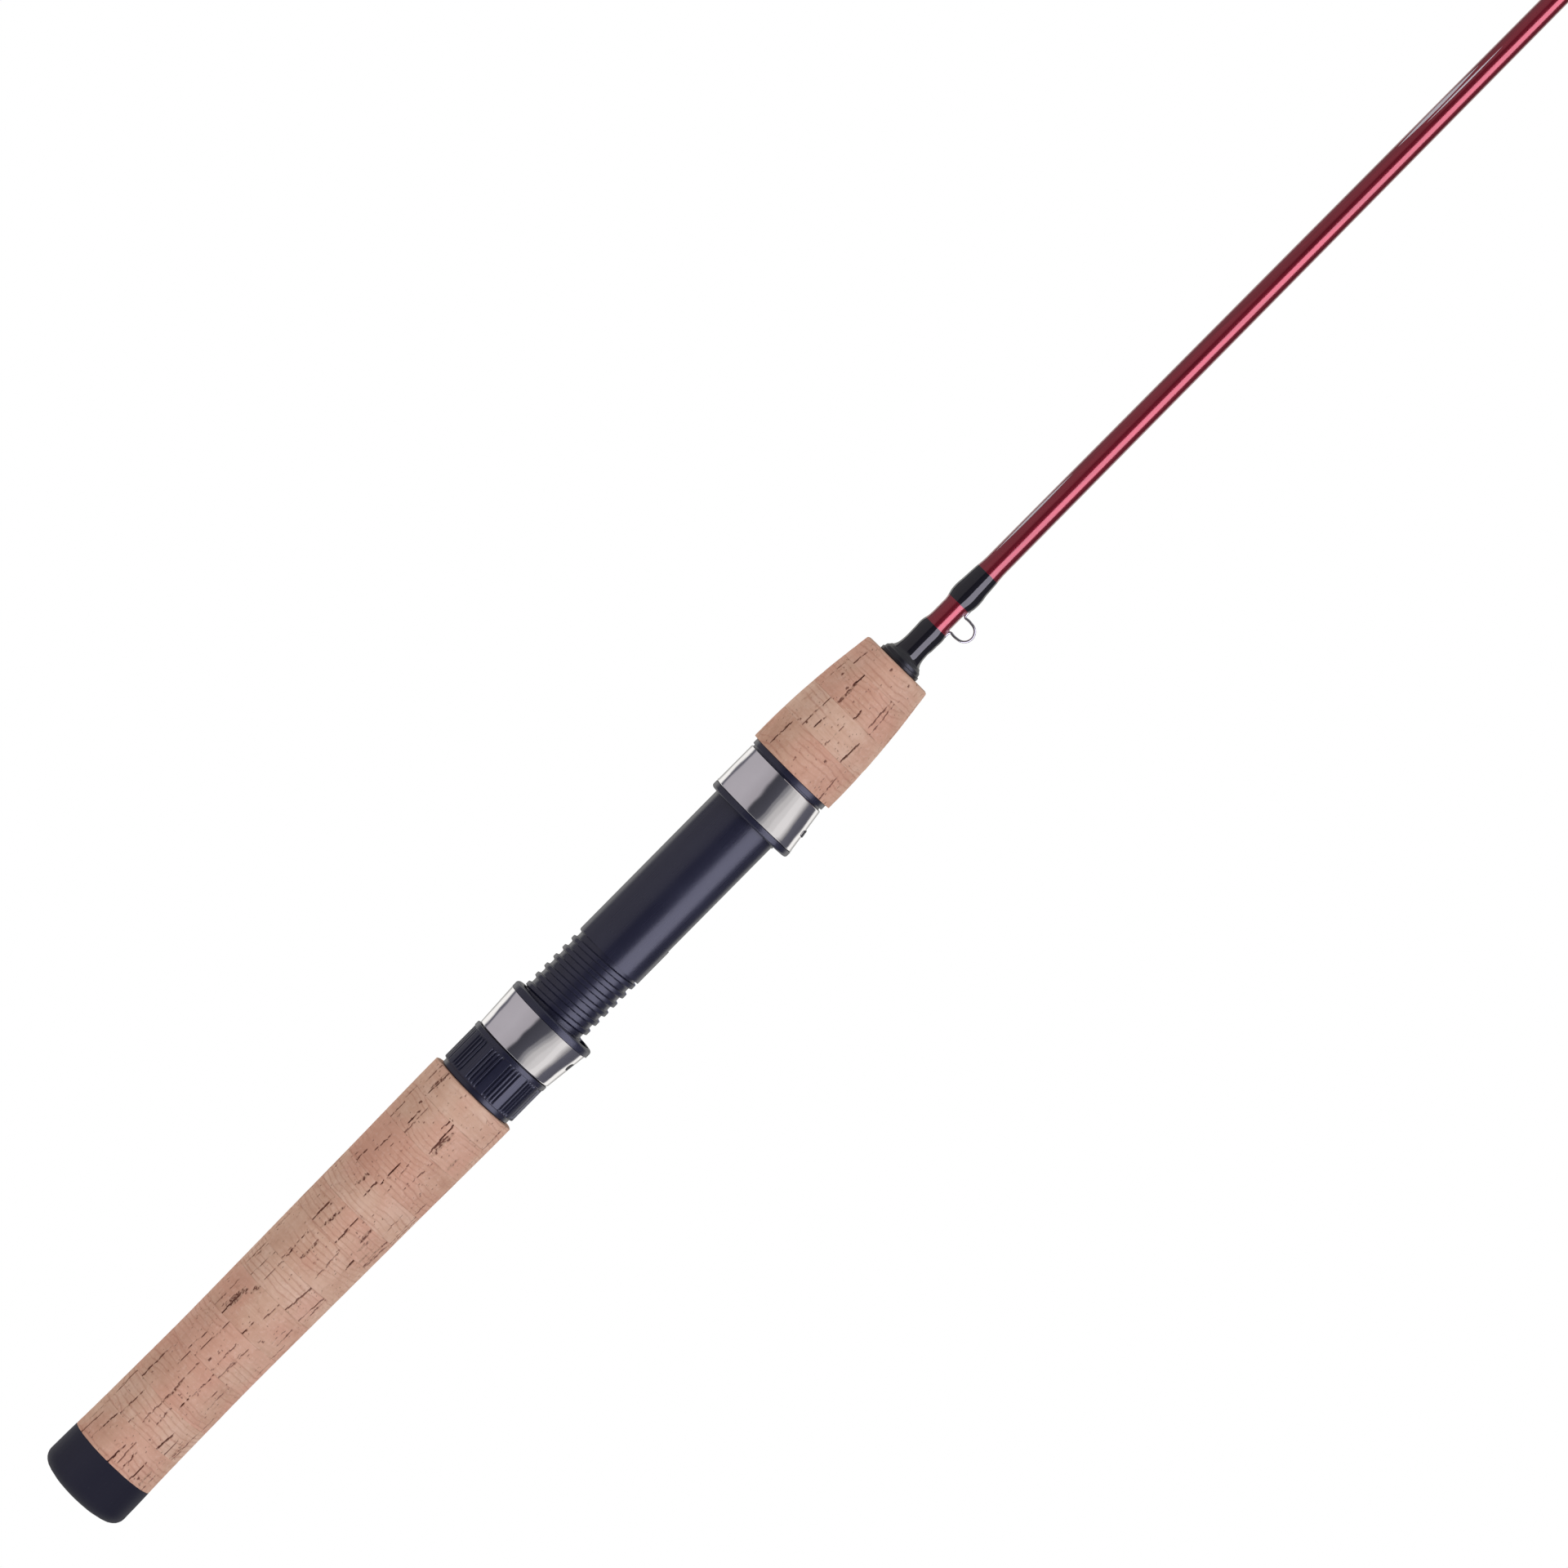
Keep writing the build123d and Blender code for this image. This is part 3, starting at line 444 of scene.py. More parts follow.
def black_material(name, base, rough, grain, grain_scale, spec, dust, scratch=0.12):
    """Black plastic or rubber with fine grain, lengthwise scratches and specks of dust."""
    graph = material_graph(name)
    fine = graph.grain(grain_scale, detail=3.0, rough=0.6)
    wide = graph.grain(60, detail=3.0, rough=0.55)
    lines = graph.grain((40, 1600, 1600), detail=2.0, rough=0.6)
    specks = graph.grain(1400, detail=2.0, rough=0.7)
    lighter = tuple(min(1, channel * 1.7 + 0.004) for channel in base[:3]) + (1,)
    colour = graph.tint(base, wide, amount=0.5, colour=lighter)
    colour = graph.tint(colour, graph.rise(specks, start=0.66, end=0.80), amount=dust,
                        colour=(0.14, 0.14, 0.16, 1))
    roughness = graph.vary(rough, wide, by=0.16)
    roughness = graph.vary(roughness, lines, by=scratch)
    return graph.principled(Base_Color=colour, Roughness=roughness, Specular_IOR_Level=spec,
                            Normal=graph.bump(fine, strength=grain, distance=0.00006))


def metal_material(name, base, rough, streak, brushed=(60, 3000, 3000), shell=False):
    """Brushed metal; a shell is also slightly wavy and turns black plastic at its slot."""
    graph = material_graph(name)
    brush = graph.grain(brushed, detail=3.0, rough=0.6)
    wide = graph.grain(90, detail=4.0, rough=0.6)
    darker = tuple(channel * 0.55 for channel in base[:3]) + (1,)
    colour = graph.tint(base, graph.rise(wide, start=0.4, end=0.75), amount=0.12, colour=darker)
    roughness = graph.add(rough, graph.multiply(wide, 0.09))
    roughness = graph.add(roughness, graph.multiply(brush, streak))
    normal = graph.bump(brush, strength=0.06, distance=0.00002)
    metallic = 1.0
    if shell:
        waves = graph.grain(120, detail=1.0, rough=0.4)
        normal = graph.bump(waves, strength=1.0, distance=0.00040, normal=normal)
        through = graph.rise(graph.attribute("slot"), start=0.35, end=0.65)
        colour = graph.mix(through, colour, (0.012, 0.012, 0.018, 1))
        metallic = graph.subtract(1.0, through)
        roughness = graph.add(roughness, graph.multiply(through, 0.4))
    return graph.principled(Base_Color=colour, Metallic=metallic, Roughness=roughness,
                            Normal=normal)


def thread_material():
    graph = material_graph("thread")
    wave = graph.node("ShaderNodeTexWave", Vector=graph.coords(), Scale=1590.0,
                      Distortion=0.4, Detail=1.0)
    wave.wave_type = "BANDS"
    wave.bands_direction = "X"
    wave.wave_profile = "SIN"
    fibre = graph.grain((2500, 600, 600), detail=2.0, rough=0.6)
    colour = graph.mix(fibre, (0.0035, 0.0035, 0.006, 1), (0.009, 0.009, 0.016, 1))
    colour = graph.tint(colour, wave.outputs["Fac"], amount=0.4,
                        colour=(0.003, 0.003, 0.005, 1))
    return graph.principled(Base_Color=colour, Specular_IOR_Level=0.05,
                            Roughness=graph.scaled(fibre, by=0.15, plus=0.75))


def finish_material():
    """Clear cured epoxy: see-through, with a sharp reflection that grows at a glancing angle."""
    graph = material_graph("clear_finish")
    wide = graph.grain(300, detail=2.0, rough=0.5)
    bump = graph.bump(wide, strength=0.10, distance=0.00010)
    fresnel = graph.node("ShaderNodeFresnel", IOR=1.6, Normal=bump)
    geometry = graph.tree.nodes.new("ShaderNodeNewGeometry")
    outside = graph.subtract(1.0, geometry.outputs["Backfacing"])
    factor = graph.multiply(fresnel.outputs[0], outside)
    gloss = graph.node("ShaderNodeBsdfGlossy", Roughness=0.045, Normal=bump)
    clear = graph.node("ShaderNodeBsdfTransparent",
                       Color=graph.mix(wide, (0.93, 0.93, 0.94, 1), (0.99, 0.99, 1.0, 1)))
    return graph.finish(graph.mix_shader(factor, clear.outputs[0], gloss.outputs[0]))


def candy(graph, dashes=()):
    """Candy red over a bright ground, with silver dashes tapered at both ends.
    Returns x, the angle about the rod, the colour, the dash mask and two noises."""
    source = graph.tree.nodes.new("ShaderNodeTexCoord").outputs["Object"]
    x, y, z = graph.split(source)
    angle = graph.rod_angle(y, z)
    # streaks that wind slowly round the blank under the coat
    turn = graph.add(angle, graph.multiply(x, 26.0))
    wound_coords = graph.node("ShaderNodeCombineXYZ", X=graph.multiply(x, 9.0),
                              Y=graph.multiply(graph.math("SINE", turn), 1.6),
                              Z=graph.multiply(graph.math("COSINE", turn), 1.6))
    streak = graph.noise(wound_coords.outputs[0], scale=1.6, detail=4.0, rough=0.6)
    fine = graph.grain((160, 1300, 1300), detail=3.0, rough=0.6)
    facing = graph.node("ShaderNodeLayerWeight", Blend=0.5).outputs["Facing"]
    # from seen square-on to seen edge-on
    reds = [(0.0, (0.27, 0.014, 0.031, 1)), (0.45, (0.26, 0.013, 0.029, 1)),
            (0.80, (0.21, 0.009, 0.020, 1)), (1.0, (0.15, 0.006, 0.012, 1))]
    body = graph.ramp(facing, reds)
    body = graph.tint(body, graph.rise(streak, start=0.44, end=0.66), amount=0.46,
                      colour=(0.15, 0.006, 0.014, 1))
    body = graph.tint(body, graph.rise(fine, start=0.50, end=0.75), amount=0.16,
                      colour=(0.42, 0.04, 0.07, 1))
    mask = graph.multiply(x, 0.0)
    for start, end, dash_angle, half_width in dashes:
        along = graph.math("DIVIDE", graph.subtract(x, start), end - start)
        taper = graph.multiply(graph.multiply(along, graph.subtract(1.0, along)), 4.0)
        half = graph.multiply(graph.maximum(taper, 0.0), half_width)
        away = graph.math("ABSOLUTE", graph.subtract(angle, dash_angle))
        dash = graph.multiply(graph.math("GREATER_THAN", half, away),
                              graph.math("GREATER_THAN", taper, 0.0))
        mask = graph.maximum(mask, dash)
    body = graph.mix(mask, body, srgb(222, 218, 222))
    return x, angle, body, mask, streak, fine


# Silver dashes on the blank: start x and end x in metres, angle and half width in radians
DASHES = ((0.3285, 0.3560, 0.94, 0.110), (0.4700, 0.4985, 0.86, 0.190),
          (0.4790, 0.5060, 0.46, 0.070))


def blank_material():
    graph = material_graph("blank_red")
    _, _, body, mask, streak, fine = candy(graph, DASHES)
    return graph.principled(
        Base_Color=body, Roughness=graph.scaled(mask, by=0.10, plus=0.25),
        Metallic=graph.subtract(0.55, graph.multiply(mask, 0.35)),
        Specular_IOR_Level=0.1, Coat_Weight=1.0, Coat_Roughness=0.13, Coat_IOR=1.54,
        Coat_Normal=graph.bump(streak, strength=0.03, distance=0.00004),
        Normal=graph.bump(fine, strength=0.04, distance=0.00002))


# Start and end x, in metres, of the thread that shows through the coat
THREAD_ZONES = ((0.2940, 0.30500), (0.31300, 0.32340))


def coated_wrap_material():
    """The thick coat over the keeper wraps, drawn as what shows through it: black thread
    turns, and the red blank past their ends."""
    graph = material_graph("coated_wrap")
    x, angle, body, _, _, _ = candy(graph)
    wide = graph.grain(260, detail=2.0, rough=0.5)
    fibre = graph.grain((2500, 600, 600), detail=2.0, rough=0.6)
    ragged_x = graph.vary(x, wide, by=0.00012)
    edge_slope = 9000.0     # per metre; how fast the thread gives way to the blank
    zone = None
    for start, end in THREAD_ZONES:
        inside = graph.minimum(graph.multiply(graph.subtract(ragged_x, start), edge_slope),
                               graph.multiply(graph.subtract(end, ragged_x), edge_slope))
        inside = graph.maximum(graph.minimum(inside, 1.0), 0.0)
        zone = inside if zone is None else graph.maximum(zone, inside)
    phase = graph.add(graph.multiply(x, 2 * math.pi / (WRAP_PITCH * MM)), angle)
    turns = graph.scaled(graph.math("SINE", phase), by=0.5, plus=0.5)
    thread = graph.mix(fibre, (0.0040, 0.0036, 0.0072, 1), (0.0090, 0.0082, 0.0150, 1))
    thread = graph.tint(thread, turns, amount=0.35, colour=(0.0025, 0.0022, 0.0045, 1))
    plain = graph.subtract(1.0, zone)
    return graph.principled(
        Base_Color=graph.mix(zone, body, thread), Metallic=graph.multiply(plain, 0.55),
        Roughness=graph.scaled(zone, by=0.40, plus=0.25),
        Specular_IOR_Level=graph.scaled(plain, by=0.05, plus=0.05), Coat_Weight=1.0,
        Coat_Roughness=graph.scaled(plain, by=0.07, plus=0.06), Coat_IOR=1.56,
        Coat_Normal=graph.bump(wide, strength=0.05, distance=0.00010))


def foam_material():
    graph = material_graph("arbor_foam")
    cells = graph.grain(1800, detail=2.0, rough=0.6)
    return graph.principled(
        Base_Color=graph.mix(cells, srgb(205, 196, 165), srgb(170, 160, 128)),
        Roughness=0.85, Normal=graph.bump(cells, strength=0.5, distance=0.0002))


def ceramic_material():
    graph = material_graph("ring_ceramic")
    wide = graph.grain(500, detail=3.0, rough=0.5)
    return graph.principled(
        Base_Color=graph.mix(wide, (0.010, 0.010, 0.012, 1), (0.030, 0.030, 0.036, 1)),
        Roughness=graph.scaled(wide, by=0.08, plus=0.06), Specular_IOR_Level=0.7)


CORK = cork_material()
RUBBER = black_material("rubber_black", base=(0.0165, 0.0165, 0.0290, 1), rough=0.62,
                        grain=0.30, grain_scale=2600, spec=0.30, dust=0.12)
GRAPHITE = black_material("graphite_black", base=(0.0140, 0.0148, 0.0315, 1), rough=0.28,
                          grain=0.22, grain_scale=1500, spec=0.55, dust=0.08, scratch=0.08)
CHECK = black_material("check_black", base=(0.010, 0.010, 0.014, 1), rough=0.34,
                       grain=0.2, grain_scale=2200, spec=0.5, dust=0.12)
CHROME = metal_material("chrome_shell", base=(0.90, 0.88, 0.90, 1), rough=0.07,
                        streak=0.03, brushed=(2600, 60, 60), shell=True)
WIRE = metal_material("wire_steel", base=(0.42, 0.41, 0.43, 1), rough=0.12, streak=0.10)
STEEL = metal_material("guide_steel", base=(0.52, 0.52, 0.55, 1), rough=0.18, streak=0.12)
THREAD = thread_material()
FINISH = finish_material()
COATED_WRAP = coated_wrap_material()
BLANK = blank_material()
FOAM = foam_material()
CERAMIC = ceramic_material()


def give(obj, material):
    obj.data.materials.clear()
    obj.data.materials.append(material)


def piece(obj, body, material, node):
    give(obj, material)
    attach(obj, body)
    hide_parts(node)


# ------------------------------------------------------------------- cork rings
# Grip outlines: x, radius
REAR_PROFILE = [
    (CAP_END, 12.53), (16.3, 12.45), (24.0, 12.30), (33.0, 12.20), (49.0, 12.05), (61.0, 12.10),
    (77.0, 12.25), (93.5, 12.40), (110.0, 12.50), (126.0, 12.70), (138.0, 12.80),
    (REAR_END, 12.80)]
FORE_PROFILE = [
    (TRIM_END, 12.90), (260.0, 12.90), (264.0, 12.78), (268.3, 12.60), (272.4, 12.30),
    (276.4, 11.97), (280.5, 11.57), (284.6, 11.06), (288.6, 10.55), (FORE_END, 10.15)]
# One row per ring: lightness shift, pinkness shift
REAR_RINGS = [(0.00, 0.0), (0.10, -0.08), (-0.14, 0.22), (0.06, 0.12), (-0.02, 0.02),
              (0.12, -0.12), (0.04, -0.15), (-0.05, 0.06), (0.09, -0.06), (-0.12, 0.18),
              (0.05, -0.05), (0.10, -0.05)]
FORE_RINGS = [(-0.08, 0.05), (0.14, -0.14), (-0.04, 0.04), (0.06, 0.0)]
PITS_PER_MM = 1.9
# Kinds of pit: running share of all pits, margin kept from the ring's faces in mm,
# then the ranges of half length, half width and depth
PIT_KINDS = {
    "hairline": (0.74, 0.0, ((2.6, 8.5), (0.11, 0.21), (0.55, 1.0))),
    "packed": (0.88, 1.0, ((2.0, 5.0), (0.30, 0.62), (0.5, 0.8))),      # with crumbly bark
    "pore": (1.0, 0.0, ((0.25, 0.6), (0.2, 0.42), (0.35, 0.65))),
}


def cork_pits(rng, x, angle, start, end, mean_radius, field):
    """How pitted and how filled the cork is at each point, both from 0 up."""
    pit = np.zeros_like(x)
    filled = np.zeros_like(x)
    wobble_x = field(0.8, 0.8, seed=51, shift_y=True) - 0.5
    wobble_around = field(0.9, 0.9, seed=61) - 0.5
    crumbs = smooth(0.40, 0.47, field(1.9, 2.4, seed=67))
    broken = 0.25 + 0.75 * smooth(0.36, 0.50, field(0.85, 1.2, seed=73, octaves=2))
    for _ in range(int(PITS_PER_MM * (end - start))):
        pit_angle = rng.uniform(0, 2 * math.pi)
        draw = rng.uniform()
        kind = next(key for key, row in PIT_KINDS.items() if draw < row[0])
        _, margin, ranges = PIT_KINDS[kind]
        pit_x = rng.uniform(start + margin, end - margin)
        half_length, half_width, depth = [rng.uniform(*limits) for limits in ranges]
        tilt = rng.normal(0, 0.045)
        turn = (angle - pit_angle + math.pi) % (2 * math.pi) - math.pi
        along = (x - pit_x) + wobble_x * 1.2
        across = turn * mean_radius + tilt * (x - pit_x) + wobble_around * 0.75
        distance = np.sqrt((np.abs(along) / half_length) ** 4 + (across / half_width) ** 2)
        mark = 1 - smooth(0.60, 1.10, distance)
        if kind == "hairline":
            mark = mark * broken
        elif kind == "packed":
            filled = np.maximum(filled, mark * crumbs)
            mark = mark * (1 - 0.9 * crumbs)
        if rng.uniform() < 0.35:     # some pits are faint
            mark = mark * 0.55
        pit = np.maximum(pit, mark * depth)
    fine_pores = smooth(0.755, 0.84, field(1.3, 2.2, seed=71, octaves=2))
    return np.maximum(pit, fine_pores * 0.35), filled


def cork_ring(name, index, profile, start, end, tone, pink, spigot, soft_end):
    """One cork ring with sunken pits and a sunken seam at each face. A spigot reaches back
    into the butt cap; soft_end is the rounding of the +X edge."""
    rng = np.random.default_rng(1000 + index)
    step = 0.24 / DENSITY
    stations = np.linspace(start, end, int(math.ceil((end - start) / step)) + 1)
    columns = int(round(2 * math.pi * 12.3 / step))
    angles = ring_angles(columns)
    x, angle = np.meshgrid(stations, angles, indexing="ij")
    surface = curve(profile, x)
    y, z = -surface * np.cos(angle), surface * np.sin(angle)
    offset = index * 37.1     # gives each ring its own stretch of noise

    def field(along, across, seed, octaves=3, shift_y=False):
        """Noise over the ring, at scales along and across the rod."""
        shift_x, shift = (0.0, offset) if shift_y else (offset, 0.0)
        return fbm(x * along + shift_x, y * across + shift, z * across, seed, octaves)

    # growth layers run round the ring; sanding leaves the soft ones a little lower
    wander = (1.15 * field(0.10, 0.09, seed=3, octaves=2)
              + 0.16 * field(0.5, 0.55, seed=5, octaves=2))
    phase = (x - start) / rng.uniform(1.35, 2.1) + 2.2 * wander
    near = np.abs(phase - np.round(phase))
    strength = smooth(0.35, 0.65, field(0.22, 0.10, seed=13, octaves=2))
    lines = (1 - smooth(0.03, 0.16, near)) * strength
    layer = field(0.75, 0.05, seed=11 + index)
    rough = field(1.3, 1.3, seed=29)
    grain = field(0.30, 0.45, seed=41)
    pit, filled = cork_pits(rng, x, angle, start, end, surface.mean(), field)

    seam = np.maximum(1 - smooth(0.0, 0.20, x - start), 1 - smooth(0.0, 0.20, end - x))
    seam = seam * smooth(0.30, 0.75, field(0.2, 0.35, seed=81, octaves=2, shift_y=True))
    radius = (surface - 0.03 * layer - 0.04 * rough - 0.50 * np.clip(pit, 0, 1.2)
              - 0.07 * seam - 0.04 * filled - 0.025 * lines)
    radius = radius + 0.035     # makes up for the mean loss to layers and roughness
    if soft_end:
        from_edge = np.clip((end - x) / soft_end, 0, 1)
        radius = radius - soft_end * (1 - np.sqrt(np.clip(1 - (1 - from_edge) ** 2, 0, 1)))
    shade = 0.52 + tone + 0.30 * (layer - 0.5) + 0.45 * (grain - 0.5) + 0.16 * (rough - 0.5)
    shade = shade + 0.35 * (field(0.12, 0.14, seed=91, octaves=2) - 0.5)
    blush = pink + field(0.10, 0.12, seed=97, octaves=2)

    back = [(start, BLANK_R)]
    if spigot:
        back = [(SPIGOT_START, BLANK_R), (SPIGOT_START, SPIGOT_R), (start, SPIGOT_R)]
    back_rows = np.array([about_rod(row_x, row_r, angles) for row_x, row_r in back])
    end_row = about_rod(end, BLANK_R, angles)[None]
    points = np.concatenate([back_rows, about_rod(x, radius, angle), end_row], 0)

    def padded(values, hidden):
        """Values held to 0-1, with one for the rows off the outer surface."""
        return np.concatenate([np.full((len(back), columns), hidden), np.clip(values, 0, 1),
                               np.full((1, columns), hidden)], 0)

    return grid_object(name, points, sharp=60, attributes={
        "tone": padded(shade, 0.5), "pit": padded(pit, 0.0), "fill": padded(filled, 0.0),
        "seam": padded(seam, 0.5), "grow": padded(lines, 0.0), "blush": padded(blush, 0.5)})


# Grip, index of its first ring, outline, rings, rounding of its +X edge
GRIPS = (("rear", 0, REAR_PROFILE, REAR_RINGS, 0.35), ("fore", 20, FORE_PROFILE, FORE_RINGS, 0.6))
for grip, first_index, profile, rings, end_rounding in GRIPS:
    for i, (tone, pink) in enumerate(rings):
        node = f"cork_{grip}_{i + 1:02d}"
        box_lo, box_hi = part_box(node)
        in_cap = node == "cork_rear_01"
        ring = cork_ring(f"grip_{grip}_{i + 1:02d}", first_index + i, profile,
                         start=CAP_END if in_cap else box_lo.x / MM, end=box_hi.x / MM,
                         tone=tone, pink=pink, spigot=in_cap,
                         soft_end=end_rounding if i == len(rings) - 1 else 0.0)
        piece(ring, "rod", CORK, node)

# --------------------------------------------------------------------- butt cap
# x, radius: the domed butt, the side, then the pocket for the cork spigot
CAP_PROFILE = [
    (0.0, 0.02), (0.0, 5.2), (0.04, 5.9), (0.3, 7.6), (0.85, 9.7), (1.25, 10.75), (1.75, 11.5),
    (2.3, 12.05), (2.9, 12.4), (3.5, 12.64), (4.2, 12.75), (8.5, 12.68), (13.05, 12.57),
    (CAP_END, 12.42), (CAP_END, SPIGOT_R), (SPIGOT_START, SPIGOT_R), (SPIGOT_START, 0.02)]


def cap_shape(x, angle, radius):
    """Slight wear of the side."""
    wear = fbm(x * 0.35, np.cos(angle) * 3, np.sin(angle) * 3, seed=5, octaves=3) - 0.5
    return np.where(radius > 11, radius + 0.03 * wear, radius)


cap = lathe("cap", densify(CAP_PROFILE, step=0.35), int(192 * DENSITY), shape=cap_shape,
            capped=True)
piece(cap, "rod", RUBBER, "butt_cap")

# ------------------------------------------------------------------------ blank
BLANK_START, BLANK_END = 10.0, 911.5
BLANK_BEVEL = 0.3
# x, radius
BLANK_TAPER = [
    (BLANK_START, BLANK_R), (292.0, BLANK_R), (325.0, 3.13), (400.0, 3.00), (523.0, 2.745),
    (629.0, 2.36), (704.0, 2.00), (774.0, 1.63), (838.0, 1.28), (905.0, 0.90),
    (BLANK_END, 0.86)]


def interpolated(table, x):
    """Straight-line interpolation in a table of (x, radius)."""
    return float(np.interp(x, [row[0] for row in table], [row[1] for row in table]))


def blank():
    stations = np.concatenate([[BLANK_START, 10.4], np.linspace(40, 280, 7),
                               np.arange(290.0, 911.0, 1.6), [911.1, BLANK_END]])
    profile = [(x, interpolated(BLANK_TAPER, x)
                - (BLANK_BEVEL if x in (BLANK_START, BLANK_END) else 0.0)) for x in stations]
    return lathe("blank_lacquered", profile, int(80 * max(DENSITY, 0.8)), capped=True)


piece(blank(), "rod", BLANK, "blank")

# -------------------------------------------------------------------- seat tube
THREAD_PITCH, THREAD_PHASE_X = 3.2, 145.0
ROOT_R, CREST_R, BORE_R = 9.20, 9.95, 8.0
CREST_HALF, FLANK = 0.60, 0.22          # half width of the crest, width of each flank
KEYWAY_DEPTH_Z = 8.78                   # distance of the keyway's flat from the axis
KEYWAY_INNER, KEYWAY_OUTER = 1.42, 1.56  # where the keyway's side wall starts and ends in |y|


def thread_radius(x, angle):
    """A right-handed helix about +X: it advances as the +Z side turns toward -Y."""
    turn = (math.pi / 2 - angle) / (2 * math.pi)
    phase = ((x - THREAD_PHASE_X) / THREAD_PITCH - turn) % 1.0
    distance = np.abs(phase - np.round(phase)) * THREAD_PITCH
    past_crest = distance - CREST_HALF
    radius = CREST_R - (CREST_R - ROOT_R) * np.clip(past_crest / FLANK, 0, 1)
    # rounded edges of crest and root
    return (radius - 0.06 * np.exp(-(past_crest / 0.10) ** 2)
            + 0.05 * np.exp(-((past_crest - FLANK) / 0.12) ** 2))


def seat_thread():
    """The threaded part of the seat tube, with a keyway along its -Z side."""
    step = 0.11 / DENSITY
    stations = np.concatenate([[REAR_END],
                               np.linspace(REAR_END, THREAD_END - 0.02, int(48 / step)),
                               [THREAD_END, THREAD_END]])
    x, angle = np.meshgrid(stations, ring_angles(int(300 * DENSITY)), indexing="ij")
    radius = np.maximum(thread_radius(x, angle), ROOT_R)
    side = np.abs(radius * np.cos(angle))
    keyway = (1 - smooth(KEYWAY_INNER, KEYWAY_OUTER, side)) * (np.sin(angle) < 0)
    flat = KEYWAY_DEPTH_Z / np.maximum(np.abs(np.sin(angle)), 0.5)
    radius = radius * (1 - keyway) + np.minimum(radius, flat) * keyway
    radius[0, :] = BORE_R
    radius[-1, :] = BORE_R
    return grid_object("seat_thread", about_rod(x, radius, angle), sharp=50)


def seat_front():
    """The part of the seat tube on the +X side of the thread, with the CAD's own faces."""
    work = bmesh.new()
    work.from_mesh(nodes["seat_barrel"].data)
    bmesh.ops.remove_doubles(work, verts=work.verts, dist=1e-7)
    bmesh.ops.bisect_plane(work, geom=work.verts[:] + work.edges[:] + work.faces[:],
                           plane_co=(THREAD_END * MM - 1e-5, 0, 0), plane_no=(1, 0, 0),
                           clear_inner=True, dist=1e-7)
    mesh = bpy.data.meshes.new("seat_front")
    work.to_mesh(mesh)
    work.free()
    for key in ("custom_normal", "sharp_edge", "sharp_face"):
        if key in mesh.attributes:
            mesh.attributes.remove(mesh.attributes[key])
    shade_smooth(mesh, sharp=32)
    return linked_object("seat_front", mesh)


# both are built before either replaces the CAD piece they come from
for part in [seat_thread(), seat_front()]:
    piece(part, "rod", GRAPHITE, "seat_barrel")

# --------------------------------------------------------------------- lock nut
GRIP_BAND = (143.1, 153.9)      # x of the grooved band's two ends
# x, radius, corner rounding
NUT_CORNERS = [
    (141.6, 10.05, 0), (141.6, 11.0, 0.25), (GRIP_BAND[0], 11.0, 0.1),
    (GRIP_BAND[0], 11.68, 0.25), (GRIP_BAND[1], 11.68, 0.12), (GRIP_BAND[1], 11.88, 0.25),
    (155.2, 11.88, 0.25), (155.2, 10.5, 0.05), (156.25, 10.5, 0.05), (156.35, 10.8, 0.1),
    (157.6, 10.8, 0.1), (158.4, 10.4, 0.1), (158.4, 10.05, 0)]
GROOVE_GROUP = 30.0                     # degrees from one group of grooves to the next
GROOVE_PHASE = 17.2                     # degrees from -Y toward -Z
GROOVES = (-8.1, -2.7, 2.7, 8.1)        # degrees from the middle of a group
GROOVE_HALF_WIDTH, GROOVE_DEPTH = 1.65, 0.42    # degrees, mm
GROOVE_FADE = (0.25, 0.65)              # from the band's ends: no depth, full depth


def nut_shape(x, angle, radius):
    """Twelve groups of four grooves along the grip band."""
    degrees = (-np.degrees(angle) - GROOVE_PHASE) % GROOVE_GROUP
    degrees = np.where(degrees > GROOVE_GROUP / 2, degrees - GROOVE_GROUP, degrees)
    groove = np.zeros_like(radius)
    for centre in GROOVES:
        depth = np.clip(1 - np.abs(degrees - centre) / GROOVE_HALF_WIDTH, 0, 1) ** 0.8
        groove = np.maximum(groove, depth)
    (start, end), (none, full) = GRIP_BAND, GROOVE_FADE
    band = smooth(start + none, start + full, x) * (1 - smooth(end - full, end - none, x))
    return radius - GROOVE_DEPTH * groove * band * (radius > 11.2)


nut = lathe("nut", densify(rounded(NUT_CORNERS), step=0.5), int(1440 * DENSITY),
            shape=nut_shape, sharp=45)
piece(nut, "nut", GRAPHITE, "lock_nut")

# ------------------------------------------------------------------ hood shells
NECK_R, RIM_R, RIM_LENGTH = 10.9, 10.6, 0.7     # turned-in rim at the -X end


